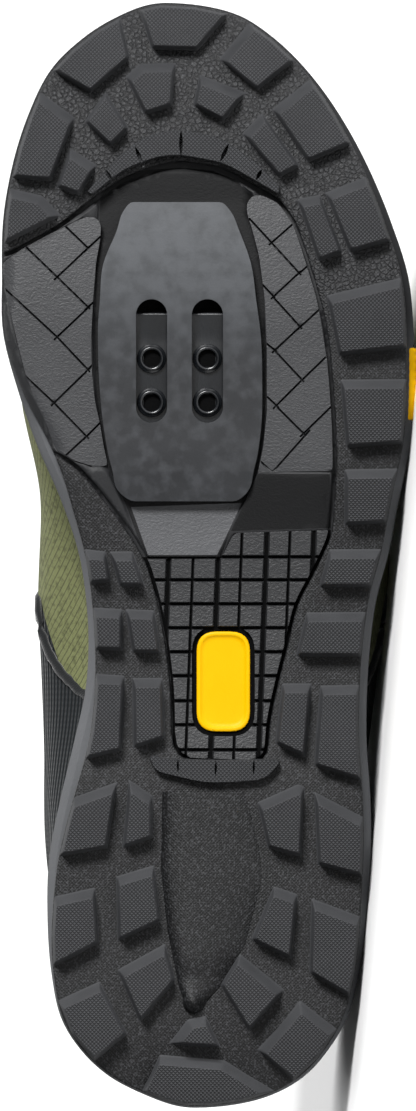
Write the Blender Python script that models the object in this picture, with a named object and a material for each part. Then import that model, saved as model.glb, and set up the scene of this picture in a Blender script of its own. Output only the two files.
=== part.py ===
"""A left off-road cycling shoe, size EU 40, lying on its outer side with the tread to the front.

The shoe is modelled upright: +X runs from heel to toe, +Y to the outer side of the foot and +Z up
from the plane of the tread. At the end it is laid down on the facet that it would come to rest on.
"""

import math

import bmesh
import bpy
import numpy as np
from mathutils import Matrix, Vector

# Lengths and widths of the sole
LENGTH = 0.278
HEEL_WIDTH = 0.081
BALL_WIDTH = 0.1025
RIM = 0.0035

# Heights of the sole
LUG_HEIGHT = 0.0048
BASE_THICKNESS = 0.0030
PLATE_REACH = 0.6
PLATE_THICKNESS = 0.0016
HEEL_STACK = 0.027
BALL_STACK = 0.0160
TOE_SPRING = 0.020
HEEL_SPRING = 0.004
ARCH_RISE = 0.0025
RIM_WALL = 0.0028
RIM_HEIGHT = 0.0040
RIM_GAP = 0.001

# Tread blocks
TOE_BEVEL = 0.0021
DRAFT = 0.0007
KEEL_DRAFT = 2 * DRAFT
SIDE_GAP = 0.0004
KEEL_HEIGHT = 0.0026
BUMPER_HEIGHT = 0.0036

# Cleat fitting
PAD_THICKNESS = 0.0022
CLEAT_SHARE = 0.6745
CLEAT_ACROSS = -0.0069
BOLT_PITCH = 0.014
BOLT_STEP = 0.011
BOLT_RADIUS = 0.0024
BOSS_RADIUS = 0.0031
BOSS_RISE = 0.0009
BOSS_SINK = 0.0004
SLOT_LENGTH = 0.031
SLOT_WIDTH = 0.0078
NUT_LENGTH = 0.034
NUT_WIDTH = 0.027
NUT_CORNER = 0.002
NUT_SHARE = 0.657

# Inlays
SOLE_INLAY_LENGTH = 0.0255
SOLE_INLAY_WIDTH = 0.0138
SOLE_INLAY_CORNER = 0.004
SOLE_INLAY_RISE = 0.0006
SOLE_INLAY_SHARE = 0.3854
SOLE_INLAY_ACROSS = 0.0041
SIDE_INLAY_LENGTH = 0.0183
SIDE_INLAY_HEIGHT = 0.0050
SIDE_INLAY_DEPTH = 0.0012
SIDE_INLAY_SHARE = 0.654
SIDE_INLAY_PLACE = 0.34
SIDE_INLAY_SINK = 0.0005

# Upper
WALL = 0.0022
FLANGE = 0.0085
COLLAR_PADDING = 0.0062
INSTEP_HEIGHT = 0.085
COLLAR_HEIGHT = 0.054
BULGE_HEIGHT = 0.020
HEEL_LEAN = 0.006
DOME_POWER = 0.86
THROAT_FRONT = 0.725
THROAT_WIDTH = 0.034
OVERLAY_THICKNESS = 0.0010
OVERLAY_LIFT = 0.0015
TOE_CAP_BACK = 0.84
TOE_CAP_LOWEST = 1.0
TOE_CAP_ROWS = 4.0
COUNTER_FRONT = 0.175
COUNTER_LOWEST = 1.2
COUNTER_ROWS = 4.0
OVERLAY_FOOT = 0.15
OVERLAY_STEPS = 5
EYESTAY_BACK = 0.50
EYESTAY_ROWS = 3.0
TONGUE_WIDTH = 0.050
TONGUE_TAPER = 0.25
TONGUE_THICKNESS = 0.0045
TONGUE_CLEARANCE = 0.0018
TONGUE_BACK = 0.435
TONGUE_FRONT = 0.765
INSOLE_THICKNESS = 0.0040
INSOLE_CLEARANCE = 0.0020

# Lacing
LACE_RADIUS = 0.0016
LACE_ROWS = 5
LACE_BACK = 0.525
LACE_FRONT = 0.690
EYELET_SETBACK = 0.0068
EYELET_RADIUS = 0.0034
EYELET_HOLE = 0.0019
EYELET_THICKNESS = 0.0008

# Gap between neighbouring pieces
CLEAR = 0.0003

# Densities in kg per cubic metre
DENSITY = {
    "outsole": 1150.0,
    "midsole": 250.0,
    "pocket_plate": 1100.0,
    "cleat_pad": 1100.0,
    "cleat_nut_plate": 7800.0,
    "upper": 450.0,
    "tongue": 150.0,
    "insole": 180.0,
    "other": 900.0,
}

# Heights between which a cutter passes through the whole sole
THROUGH = (-0.01, 0.06)

# Outline of the sole: share of the length, inner side, outer side.
# The heel's rows are shares of the heel's width, the ball's rows of the ball's width.
OUTLINE_HEEL = (
    (0.00, 0.037, -0.037),
    (0.01, 0.177, 0.185),
    (0.03, 0.309, 0.306),
    (0.05, 0.383, 0.368),
    (0.08, 0.449, 0.430),
    (0.12, 0.480, 0.470),
    (0.17, 0.493, 0.493),
    (0.23, 0.486, 0.507),
    (0.28, 0.452, 0.505),
    (0.33, 0.411, 0.493),
    (0.38, 0.374, 0.495),
)
OUTLINE_BALL = (
    (0.42, 0.289, 0.399),
    (0.46, 0.295, 0.414),
    (0.50, 0.312, 0.443),
    (0.55, 0.357, 0.469),
    (0.60, 0.416, 0.498),
    (0.65, 0.463, 0.506),
    (0.70, 0.498, 0.505),
    (0.75, 0.501, 0.492),
    (0.80, 0.499, 0.450),
    (0.85, 0.477, 0.394),
    (0.90, 0.435, 0.320),
    (0.94, 0.380, 0.240),
    (0.97, 0.296, 0.156),
    (0.99, 0.205, 0.068),
    (1.00, 0.102, -0.102),
)

# How far the rubber's edge lies inside the outline: share of the length, inner side and outer side
# as shares of the rim
RUBBER_EDGE = (
    (0.00, 0.15, 0.15),
    (0.15, 0.20, 0.35),
    (0.21, 0.55, 0.50),
    (0.28, 0.85, 0.50),
    (0.33, 1.00, 0.50),
    (0.38, 0.60, 0.50),
    (0.46, 0.35, 0.50),
    (0.53, 0.45, 0.50),
    (0.59, 0.85, 0.50),
    (0.65, 0.25, 0.50),
    (0.75, 0.12, 0.45),
    (0.85, 0.12, 0.35),
    (0.95, 0.12, 0.15),
    (1.00, 0.12, 0.12),
)

# Rise of the tread above the floor: share of the length, then shares of the toe spring, the heel
# spring and the arch's rise
TREAD_RISE = (
    (0.00, 0.00, 1.00, 0.00),
    (0.04, 0.00, 0.35, 0.00),
    (0.09, 0.00, 0.00, 0.00),
    (0.28, 0.00, 0.00, 0.00),
    (0.36, 0.00, 0.00, 0.70),
    (0.44, 0.00, 0.00, 1.00),
    (0.52, 0.00, 0.00, 0.60),
    (0.59, 0.00, 0.00, 0.00),
    (0.70, 0.00, 0.00, 0.00),
    (0.78, 0.08, 0.00, 0.00),
    (0.86, 0.28, 0.00, 0.00),
    (0.93, 0.58, 0.00, 0.00),
    (1.00, 1.00, 0.00, 0.00),
)

# Height of the foot bed above the tread: share of the length, shares of the heel's and ball's stack
STACK = (
    (0.00, 1.00, 0.00),
    (0.30, 0.97, 0.03),
    (0.45, 0.60, 0.40),
    (0.60, 0.12, 0.88),
    (0.70, 0.00, 1.00),
    (0.85, 0.00, 0.93),
    (1.00, 0.00, 0.75),
)

# Widest line of the upper: share of the length, inner side, outer side, as for the outline
LAST_HEEL = (
    (0.00, 0.037, -0.037),
    (0.02, 0.222, 0.173),
    (0.05, 0.333, 0.296),
    (0.10, 0.420, 0.390),
    (0.15, 0.468, 0.435),
    (0.20, 0.496, 0.468),
    (0.27, 0.513, 0.492),
    (0.33, 0.513, 0.510),
)
LAST_BALL = (
    (0.40, 0.411, 0.425),
    (0.45, 0.417, 0.440),
    (0.50, 0.412, 0.449),
    (0.55, 0.416, 0.458),
    (0.60, 0.435, 0.475),
    (0.65, 0.459, 0.479),
    (0.70, 0.468, 0.473),
    (0.75, 0.468, 0.454),
    (0.80, 0.458, 0.415),
    (0.85, 0.434, 0.356),
    (0.90, 0.385, 0.278),
    (0.94, 0.327, 0.200),
    (0.97, 0.250, 0.112),
    (0.99, 0.170, 0.030),
    (1.00, 0.102, -0.102),
)

# Ridge of the last above the foot bed: share of the length, share of the instep's height, and how
# far the ridge stands to the outer side, as a share of the ball's width
RIDGE = (
    (0.00, 0.90, -0.020),
    (0.15, 0.90, -0.015),
    (0.25, 0.88, -0.010),
    (0.30, 0.95, -0.005),
    (0.36, 1.07, 0.000),
    (0.42, 1.13, 0.000),
    (0.46, 1.07, -0.005),
    (0.50, 1.00, -0.010),
    (0.56, 0.91, -0.020),
    (0.62, 0.83, -0.035),
    (0.68, 0.735, -0.050),
    (0.74, 0.635, -0.070),
    (0.80, 0.545, -0.088),
    (0.86, 0.465, -0.100),
    (0.92, 0.370, -0.108),
    (0.96, 0.290, -0.108),
    (0.985, 0.210, -0.104),
    (1.00, 0.130, -0.102),
)

# Height of the widest line above the foot bed, as a share of the bulge's height
BULGE = (
    (0.00, 0.95),
    (0.30, 1.05),
    (0.50, 0.90),
    (0.60, 0.85),
    (0.70, 0.78),
    (0.85, 0.65),
    (0.95, 0.48),
    (1.00, 0.36),
)

# Top line of the collar above the foot bed, as a share of the collar's height
COLLAR = (
    (0.00, 1.00),
    (0.05, 1.00),
    (0.10, 0.94),
    (0.18, 0.82),
    (0.25, 0.79),
    (0.32, 0.85),
    (0.38, 1.00),
    (0.44, 1.21),
    (0.48, 1.38),
    (0.55, 1.75),
)

# Half of the throat's gap, as a share of the throat's width
THROAT = (
    (0.45, 0.50),
    (0.52, 0.48),
    (0.60, 0.40),
    (0.66, 0.31),
    (0.70, 0.20),
    (0.725, 0.00),
)

# Backward lean of the heel: share of the collar's height, share of the lean
LEAN = (
    (0.00, 0.00),
    (0.10, 0.00),
    (0.36, -0.40),
    (0.70, 0.15),
    (1.00, 1.00),
    (2.00, 3.00),
)

# Thickness of the upper's wall, as a share of the collar's padding added to it
PADDING = (
    (0.00, 1.00),
    (0.30, 1.00),
    (0.38, 0.75),
    (0.45, 0.10),
    (0.48, 0.00),
    (1.00, 0.00),
)

# Corners of the tread blocks. An edge block runs along the rubber's edge between two shares of the
# length, inner side negative, and has two inner corners: share of the length, share of the width.
EDGE_BLOCKS_BALL = (
    (-0.996, 0.992, (0.957, -0.024), (0.958, -0.135)),
    (-0.940, -0.988, (0.949, -0.191), (0.918, -0.286)),
    (-0.842, -0.919, (0.894, -0.325), (0.838, -0.382)),
    (-0.782, -0.831, (0.823, -0.404), (0.806, -0.360)),
    (0.983, 0.949, (0.920, 0.122), (0.948, 0.032)),
    (0.931, 0.873, (0.855, 0.247), (0.902, 0.161)),
    (0.842, 0.785, (0.773, 0.350), (0.826, 0.291)),
    (0.750, 0.688, (0.680, 0.323), (0.733, 0.294)),
    (0.658, 0.601, (0.597, 0.342), (0.657, 0.328)),
    (0.577, 0.529, (0.527, 0.338), (0.576, 0.338)),
    (0.504, 0.471, (0.471, 0.276), (0.504, 0.301)),
    (0.447, 0.408, (0.409, 0.220), (0.447, 0.245)),
    (-0.474, -0.504, (0.502, -0.249), (0.476, -0.237)),
    (-0.414, -0.451, (0.450, -0.208), (0.414, -0.208)),
)
EDGE_BLOCKS_HEEL = (
    (0.381, 0.296, (0.310, 0.334), (0.381, 0.353)),
    (0.261, 0.209, (0.221, 0.344), (0.285, 0.334)),
    (0.171, 0.100, (0.123, 0.319), (0.189, 0.325)),
    (0.069, 0.023, (0.053, 0.158), (0.097, 0.288)),
    (0.013, -0.013, (0.048, -0.145), (0.043, 0.053)),
    (-0.041, -0.095, (0.114, -0.334), (0.068, -0.248)),
    (-0.127, -0.189, (0.199, -0.347), (0.150, -0.337)),
    (-0.227, -0.279, (0.294, -0.279), (0.236, -0.310)),
    (-0.315, -0.391, (0.390, -0.257), (0.324, -0.266)),
)
INNER_BLOCKS_BALL = (
    ((0.932, -0.198), (0.943, -0.164), (0.944, -0.078), (0.906, -0.086), (0.898, -0.152)),
    ((0.933, -0.017), (0.917, 0.093), (0.892, 0.039), (0.906, -0.032)),
    ((0.917, -0.249), (0.885, -0.193), (0.869, -0.237), (0.891, -0.298)),
    ((0.866, -0.335), (0.851, -0.271), (0.825, -0.313), (0.832, -0.367)),
    ((0.898, 0.135), (0.851, 0.225), (0.841, 0.176), (0.880, 0.088)),
    ((0.820, 0.222), (0.824, 0.276), (0.773, 0.330), (0.765, 0.273)),
    ((0.502, -0.237), (0.502, -0.183), (0.472, -0.154), (0.472, -0.213)),
    ((0.450, -0.198), (0.449, -0.130), (0.412, -0.115), (0.412, -0.181)),
)
INNER_BLOCKS_HEEL = (
    ((0.383, 0.235), (0.383, 0.322), (0.318, 0.303), (0.330, 0.214)),
    ((0.276, 0.158), (0.292, 0.282), (0.290, 0.300), (0.228, 0.291), (0.236, 0.190)),
    ((0.200, 0.208), (0.193, 0.279), (0.136, 0.260), (0.153, 0.139)),
    ((0.139, 0.102), (0.107, 0.238), (0.071, 0.130), (0.112, 0.043)),
    ((0.080, -0.058), (0.083, -0.005), (0.056, 0.040), (0.059, -0.115)),
    ((0.388, -0.229), (0.388, -0.139), (0.335, -0.133), (0.326, -0.226)),
    ((0.296, -0.241), (0.282, -0.170), (0.245, -0.170), (0.236, -0.260)),
    ((0.209, -0.279), (0.219, -0.165), (0.170, -0.145), (0.152, -0.275)),
    ((0.125, -0.275), (0.148, -0.131), (0.116, -0.100), (0.079, -0.207)),
)

# Low bars of the tread: the bumper in front of the cleat pocket, the crescent behind it and the
# keel down the middle of the heel
BUMPER = (
    (0.827, -0.296), (0.856, -0.230), (0.879, -0.152), (0.885, -0.066), (0.877, 0.032),
    (0.856, 0.117), (0.832, 0.180), (0.824, 0.177), (0.838, 0.112), (0.853, 0.040),
    (0.860, -0.064), (0.859, -0.115), (0.848, -0.201), (0.824, -0.281),
)
CRESCENT = (
    (0.320, -0.186), (0.316, -0.108), (0.315, 0.028), (0.316, 0.241),
    (0.296, 0.180), (0.293, -0.003), (0.304, -0.161),
)
KEEL = (
    (0.286, -0.140), (0.216, -0.145), (0.162, -0.125), (0.112, -0.090), (0.089, -0.062),
    (0.086, -0.037), (0.096, 0.000), (0.112, 0.050), (0.148, 0.125), (0.207, 0.180),
    (0.234, 0.172), (0.270, 0.140), (0.286, 0.120),
)

# Pocket in the rubber around the cleat: share of the length, share of the ball's width. It is open
# to the inner side of the ball, where its corners lie beyond the sole.
POCKET_INNER = (
    (0.312, -0.086), (0.378, -0.088), (0.423, -0.103), (0.459, -0.122), (0.491, -0.147),
    (0.513, -0.181), (0.536, -0.225), (0.559, -0.274), (0.579, -0.323), (0.591, -0.374),
    (0.592, -0.600), (0.769, -0.600), (0.770, -0.499), (0.798, -0.360), (0.821, -0.284),
    (0.842, -0.201), (0.853, -0.115), (0.856, -0.064),
)
POCKET_OUTER = (
    (0.850, 0.040), (0.835, 0.112), (0.821, 0.178), (0.801, 0.216), (0.784, 0.233),
    (0.764, 0.250), (0.744, 0.267), (0.721, 0.284), (0.699, 0.296), (0.653, 0.308),
    (0.604, 0.316), (0.577, 0.316), (0.527, 0.308), (0.514, 0.301), (0.486, 0.267),
    (0.455, 0.220), (0.423, 0.201), (0.387, 0.176), (0.351, 0.154), (0.312, 0.147),
)

# Cleat pad: share of the length, inner edge and outer edge as shares of the ball's width
PAD = (
    (0.548, -0.186, 0.073),
    (0.552, -0.203, 0.088),
    (0.577, -0.232, 0.115),
    (0.613, -0.252, 0.132),
    (0.658, -0.264, 0.135),
    (0.700, -0.267, 0.131),
    (0.730, -0.262, 0.120),
    (0.762, -0.254, 0.108),
    (0.793, -0.220, 0.078),
    (0.810, -0.205, 0.058),
    (0.818, -0.188, 0.039),
)

# Rows of the wall below and above its widest line
WALL_ROWS = (-1.0, -0.5, 0.0)
DOME_ROWS = (0.17, 0.34, 0.50, 0.65, 0.78, 0.89, 1.0)
PADDED_ROW = 7

# Number of sections along each piece
SOLE_SECTIONS = 34
UPPER_SECTIONS = 34
DENSE = 400


class Curve:
    """A smooth curve through the rows of a table, by its first column. With round ends the shares
    are spaced as angles, so that the values close like an ellipse at both tips. Without them the
    curve is level wherever its rows stop rising or falling."""

    def __init__(self, rows, column=1, unit=1.0, round_ends=False):
        self.round_ends = round_ends
        self.at = self.spaced(np.array([row[0] for row in rows], float))
        self.values = np.array([row[column] for row in rows], float) * unit
        steps = np.diff(self.at)
        rises = np.diff(self.values) / steps
        inner = (rises[:-1] * steps[1:] + rises[1:] * steps[:-1]) / (steps[1:] + steps[:-1])
        if not round_ends:
            inner = np.where(rises[:-1] * rises[1:] > 0, inner, 0.0)
        self.slopes = np.concatenate([rises[:1], inner, rises[-1:]])

    def spaced(self, shares):
        if not self.round_ends:
            return shares
        return np.arccos(np.clip(1 - 2 * shares, -1, 1))

    def __call__(self, share):
        at = np.clip(self.spaced(np.asarray(share, float)), self.at[0], self.at[-1])
        index = np.clip(np.searchsorted(self.at, at) - 1, 0, len(self.at) - 2)
        step = self.at[index + 1] - self.at[index]
        t = (at - self.at[index]) / step
        low, high = self.values[index], self.values[index + 1]
        rise = high - low
        start = self.slopes[index] * step
        end = self.slopes[index + 1] * step
        return low + t * (start + t * (3 * rise - 2 * start - end + t * (start + end - 2 * rise)))


def widths(heel_rows, ball_rows):
    """Curves of the inner and the outer half-width, from rows of two different units."""
    sides = []
    for column in (1, 2):
        heel = [(row[0], row[column] * HEEL_WIDTH) for row in heel_rows]
        ball = [(row[0], row[column] * BALL_WIDTH) for row in ball_rows]
        sides.append(Curve(heel + ball, round_ends=True))
    return {-1: sides[0], 1: sides[1]}


OUTLINE = widths(OUTLINE_HEEL, OUTLINE_BALL)
LAST = widths(LAST_HEEL, LAST_BALL)
RUBBER = {-1: Curve(RUBBER_EDGE, 1, RIM), 1: Curve(RUBBER_EDGE, 2, RIM)}
RISE_CURVES = (
    Curve(TREAD_RISE, 1, TOE_SPRING),
    Curve(TREAD_RISE, 2, HEEL_SPRING),
    Curve(TREAD_RISE, 3, ARCH_RISE),
)
STACK_CURVES = (Curve(STACK, 1, HEEL_STACK), Curve(STACK, 2, BALL_STACK))
RIDGE_HEIGHT = Curve(RIDGE, 1, INSTEP_HEIGHT, round_ends=True)
RIDGE_ACROSS = Curve(RIDGE, 2, BALL_WIDTH)
BULGE_CURVE = Curve(BULGE, 1, BULGE_HEIGHT)
COLLAR_CURVE = Curve(COLLAR, 1, COLLAR_HEIGHT)
THROAT_CURVE = Curve(THROAT, 1, THROAT_WIDTH)
LEAN_CURVE = Curve(LEAN, 1, HEEL_LEAN)
PADDING_CURVE = Curve(PADDING, 1, COLLAR_PADDING)


def tread_z(x):
    """Height of the blocks' running faces above the floor."""
    share = np.clip(np.asarray(x) / LENGTH, 0, 1)
    return sum(curve(share) for curve in RISE_CURVES)


def base_z(x):
    """Height of the rubber's face between the blocks."""
    return tread_z(x) + LUG_HEIGHT


def shell_z(x):
    """Height of the rubber's upper face, on which the midsole lies."""
    return base_z(x) + BASE_THICKNESS


def bed_z(x):
    """Height of the midsole's bed, on which the upper lies."""
    share = np.clip(np.asarray(x) / LENGTH, 0, 1)
    return tread_z(x) + sum(curve(share) for curve in STACK_CURVES)


class Inset:
    """The sole's outline moved inwards by a distance for each side, a number or a curve."""

    def __init__(self, inner, outer=None):
        outer = inner if outer is None else outer
        angles = np.linspace(0, math.pi, DENSE)
        share = (1 - np.cos(angles)) / 2
        there = np.stack([share * LENGTH, -OUTLINE[-1](share)], 1)
        back = np.stack([share * LENGTH, OUTLINE[1](share)], 1)[::-1][1:-1]
        points = np.concatenate([there, back])
        both = np.concatenate([self.amount(inner, share), self.amount(outer, share)[::-1][1:-1]])
        along = np.roll(points, -1, 0) - np.roll(points, 1, 0)
        along /= np.linalg.norm(along, axis=1)[:, None]
        points = points + np.stack([-along[:, 1], along[:, 0]], 1) * both[:, None]
        heel = int(np.argmin(points[:, 0]))
        points = np.roll(points, -heel, 0)
        toe = int(np.argmax(points[:, 0]))
        inner_side = points[: toe + 1]
        outer_side = np.concatenate([points[toe:], points[:1]])[::-1]
        self.start = points[0, 0]
        self.end = points[toe, 0]
        self.sides = {-1: inner_side, 1: outer_side}

    @staticmethod
    def amount(distance, share):
        if callable(distance):
            return distance(share)
        return np.full(len(share), float(distance))

    def stations(self, count):
        """Positions along the shoe, close together at both tips."""
        return self.start + (self.end - self.start) * (1 - np.cos(np.linspace(0, math.pi, count))) / 2

    def across(self, x, side):
        line = self.sides[side]
        return np.interp(x, np.maximum.accumulate(line[:, 0]), line[:, 1])

    def ring(self, z, count=SOLE_SECTIONS, stations=None):
        """Points round the outline, from the heel along the inner side and back along the outer."""
        x = self.stations(count) if stations is None else stations
        height = z(x)
        inner = np.stack([x, self.across(x, -1), height], 1)
        outer = np.stack([x, self.across(x, 1), height], 1)
        return np.concatenate([inner, outer[-2:0:-1]])


def material(name, colour, roughness, metallic=0.0):
    made = bpy.data.materials.new(name)
    made.use_nodes = True
    shader = made.node_tree.nodes["Principled BSDF"]
    shader.inputs["Base Color"].default_value = (*colour, 1.0)
    shader.inputs["Roughness"].default_value = roughness
    shader.inputs["Metallic"].default_value = metallic
    return made


def finish_mesh(name, bm, surface=None):
    """An object from a bmesh, with its faces turned outwards."""
    bmesh.ops.recalc_face_normals(bm, faces=bm.faces[:])
    mesh = bpy.data.meshes.new(name)
    bm.to_mesh(mesh)
    bm.free()
    if surface is not None:
        mesh.materials.append(surface)
    made = bpy.data.objects.new(name, mesh)
    bpy.context.collection.objects.link(made)
    return made


def strip_cap(bm, ring):
    """Closes a ring with strips between its inner and its outer side."""
    count = len(ring) // 2 + 1
    bm.faces.new((ring[0], ring[1], ring[-1]))
    for i in range(1, count - 2):
        bm.faces.new((ring[i], ring[i + 1], ring[-i - 1], ring[-i]))
    bm.faces.new((ring[count - 2], ring[count - 1], ring[count]))


def stack(name, rings, surface=None):
    """A closed solid through rings of points, each with as many points."""
    bm = bmesh.new()
    rows = [[bm.verts.new(point) for point in ring] for ring in rings]
    size = len(rows[0])
    for low, high in zip(rows, rows[1:]):
        for i in range(size):
            j = (i + 1) % size
            bm.faces.new((low[i], low[j], high[j], high[i]))
    strip_cap(bm, rows[0])
    strip_cap(bm, rows[-1])
    return finish_mesh(name, bm, surface)


def add_prism(bm, low, high):
    """A closed prism between two polygons with as many corners."""
    below = [bm.verts.new(point) for point in low]
    above = [bm.verts.new(point) for point in high]
    size = len(below)
    bm.faces.new(below[::-1])
    bm.faces.new(above)
    for i in range(size):
        j = (i + 1) % size
        bm.faces.new((below[i], below[j], above[j], above[i]))


def prism(name, polygon, low, high):
    bm = bmesh.new()
    add_prism(bm, [(x, y, low) for x, y in polygon], [(x, y, high) for x, y in polygon])
    return finish_mesh(name, bm)


def as_cutter(obj):
    obj.hide_render = True
    obj.display_type = "WIRE"
    return obj


def boolean(obj, operation, other, self_crossing=False):
    step = obj.modifiers.new(other.name, "BOOLEAN")
    step.operation = operation
    step.object = as_cutter(other)
    step.use_self = self_crossing
    return obj


def counter_clockwise(points):
    points = np.array(points, float)
    x, y = points[:, 0], points[:, 1]
    area = np.sum(x * np.roll(y, -1) - np.roll(x, -1) * y)
    return points if area > 0 else points[::-1]


def inset_polygon(points, distance):
    """The polygon moved inwards by a distance for each edge, given the edge's outward normal."""
    size = len(points)
    normals, offsets = [], []
    for i in range(size):
        edge = points[(i + 1) % size] - points[i]
        normal = np.array([edge[1], -edge[0]]) / np.hypot(*edge)
        normals.append(normal)
        offsets.append(normal @ points[i] - distance(normal))
    moved = []
    for i in range(size):
        pair = np.array([normals[i - 1], normals[i]])
        turn = np.linalg.det(pair)
        if abs(turn) < 0.2:
            middle = (normals[i - 1] + normals[i]) / 2
            middle /= np.hypot(*middle)
            reach = (distance(normals[i - 1]) + distance(normals[i])) / 2
            moved.append(points[i] - middle * reach)
        else:
            moved.append(np.linalg.solve(pair, [offsets[i - 1], offsets[i]]))
    return np.array(moved)


def scaled(corners, width):
    return [(share * LENGTH, across * width) for share, across in corners]


def side_bevel(normal):
    """How far a block's side leans in: the side that faces the toe leans most."""
    return TOE_BEVEL if normal[0] > 0.6 else DRAFT


def edge_path(rubber, start, stop, count=4):
    """Points along the rubber's edge between two signed shares, the short way round either tip."""

    def angle(share):
        turn = math.acos(1 - 2 * abs(share))
        return turn if share < 0 else 2 * math.pi - turn

    a, b = angle(start), angle(stop)
    if b - a > math.pi:
        b -= 2 * math.pi
    if a - b > math.pi:
        b += 2 * math.pi
    points = []
    for turn in np.linspace(a, b, count):
        side = -1 if 0 < turn % (2 * math.pi) < math.pi else 1
        x = rubber.start + (rubber.end - rubber.start) * (1 - math.cos(turn)) / 2
        points.append((x, float(rubber.across(x, side))))
    return points


def add_block(bm, polygon, height, bevel=side_bevel):
    """A tread block: its foot is sunk into the rubber and its running face follows the tread."""
    foot = counter_clockwise(polygon)
    face = inset_polygon(foot, bevel)
    drop = LUG_HEIGHT - height
    add_prism(
        bm,
        [(x, y, float(tread_z(x)) + drop) for x, y in face],
        [(x, y, float(base_z(x)) + BASE_THICKNESS / 2) for x, y in foot],
    )


def make_blocks():
    """Every raised shape of the tread in one mesh."""
    bm = bmesh.new()
    rubber = Inset(
        lambda share: RUBBER[-1](share) + SIDE_GAP, lambda share: RUBBER[1](share) + SIDE_GAP
    )
    for rows, width in ((EDGE_BLOCKS_BALL, BALL_WIDTH), (EDGE_BLOCKS_HEEL, HEEL_WIDTH)):
        for start, stop, *corners in rows:
            add_block(bm, edge_path(rubber, start, stop) + scaled(corners, width), LUG_HEIGHT)
    for rows, width in ((INNER_BLOCKS_BALL, BALL_WIDTH), (INNER_BLOCKS_HEEL, HEEL_WIDTH)):
        for corners in rows:
            add_block(bm, scaled(corners, width), LUG_HEIGHT)
    add_block(bm, scaled(BUMPER, BALL_WIDTH), BUMPER_HEIGHT, lambda normal: DRAFT)
    add_block(bm, scaled(CRESCENT, HEEL_WIDTH), KEEL_HEIGHT, lambda normal: DRAFT)
    add_block(bm, scaled(KEEL, HEEL_WIDTH), KEEL_HEIGHT, lambda normal: KEEL_DRAFT)
    return finish_mesh("tread blocks", bm)


def pocket_polygon(clearance=0.0):
    corners = scaled(POCKET_INNER + POCKET_OUTER, BALL_WIDTH)
    polygon = counter_clockwise(corners)
    return inset_polygon(polygon, lambda normal: clearance) if clearance else polygon


def make_outsole(surface):
    rubber = Inset(RUBBER[-1], RUBBER[1])
    outsole = stack("outsole", [rubber.ring(base_z), rubber.ring(shell_z)], surface)
    boolean(outsole, "UNION", make_blocks(), self_crossing=True)
    boolean(outsole, "DIFFERENCE", prism("pocket", pocket_polygon(), *THROUGH))
    return outsole


def window(share, across, length, width, corner):
    """The outline of a rectangle with clipped corners, centred at a share of the length."""
    x, y = share * LENGTH, across
    half, side = length / 2, width / 2
    corners = [
        (x - half, y - side + corner), (x - half + corner, y - side),
        (x + half - corner, y - side), (x + half, y - side + corner),
        (x + half, y + side - corner), (x + half - corner, y + side),
        (x - half + corner, y + side), (x - half, y + side - corner),
    ]
    return corners[::-1]


def plate_z(x):
    """Height of the plate's lower face, a little deeper than the rubber's."""
    return shell_z(x) - PLATE_THICKNESS


def make_shank_plate(surface):
    edge = Inset(lambda share: RUBBER[-1](share) * PLATE_REACH, lambda share: RUBBER[1](share))
    plate = stack("pocket_plate", [edge.ring(plate_z), edge.ring(shell_z)], surface)
    boolean(plate, "INTERSECT", prism("plate outline", pocket_polygon(CLEAR), *THROUGH))
    openings = (
        ("nut window", NUT_SHARE, CLEAT_ACROSS, NUT_LENGTH, NUT_WIDTH, NUT_CORNER),
        (
            "inlay window", SOLE_INLAY_SHARE, SOLE_INLAY_ACROSS,
            SOLE_INLAY_LENGTH, SOLE_INLAY_WIDTH, SOLE_INLAY_CORNER,
        ),
    )
    for name, share, across, length, width, corner in openings:
        outline = window(share, across, length + 2 * CLEAR, width + 2 * CLEAR, corner)
        boolean(plate, "DIFFERENCE", prism(name, outline, *THROUGH))
    return plate


def stadium(x, y, length, width, sides=8):
    """Outline of a slot with round ends, along the shoe."""
    radius = width / 2
    reach = length / 2 - radius
    points = []
    for turn in np.linspace(-math.pi / 2, math.pi / 2, sides):
        points.append((x + reach + radius * math.cos(turn), y + radius * math.sin(turn)))
    for turn in np.linspace(math.pi / 2, 3 * math.pi / 2, sides):
        points.append((x - reach + radius * math.cos(turn), y + radius * math.sin(turn)))
    return points


def make_cleat_pad(surface):
    x = np.array([row[0] for row in PAD]) * LENGTH
    rings = []
    for z in (lambda x: plate_z(x) - CLEAR - PAD_THICKNESS, lambda x: plate_z(x) - CLEAR):
        height = z(x)
        inner = np.stack([x, np.array([row[1] for row in PAD]) * BALL_WIDTH, height], 1)
        outer = np.stack([x, np.array([row[2] for row in PAD]) * BALL_WIDTH, height], 1)
        rings.append(np.concatenate([inner, outer[::-1]]))
    bm = bmesh.new()
    rows = [[bm.verts.new(point) for point in ring] for ring in rings]
    size, count = len(rows[0]), len(x)
    for i in range(size):
        j = (i + 1) % size
        bm.faces.new((rows[0][i], rows[0][j], rows[1][j], rows[1][i]))
    for row in rows:
        for i in range(count - 1):
            bm.faces.new((row[i], row[i + 1], row[size - 2 - i], row[size - 1 - i]))
    pad = finish_mesh("cleat_pad", bm, surface)
    for side in (-1, 1):
        outline = stadium(
            CLEAT_SHARE * LENGTH, CLEAT_ACROSS + side * BOLT_PITCH / 2, SLOT_LENGTH, SLOT_WIDTH
        )
        boolean(pad, "DIFFERENCE", prism(f"slot {side}", outline, *THROUGH))
    return pad


def circle(x, y, radius, sides=16):
    turns = np.linspace(0, 2 * math.pi, sides, endpoint=False)
    return [(x + radius * math.cos(turn), y + radius * math.sin(turn)) for turn in turns]


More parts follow.
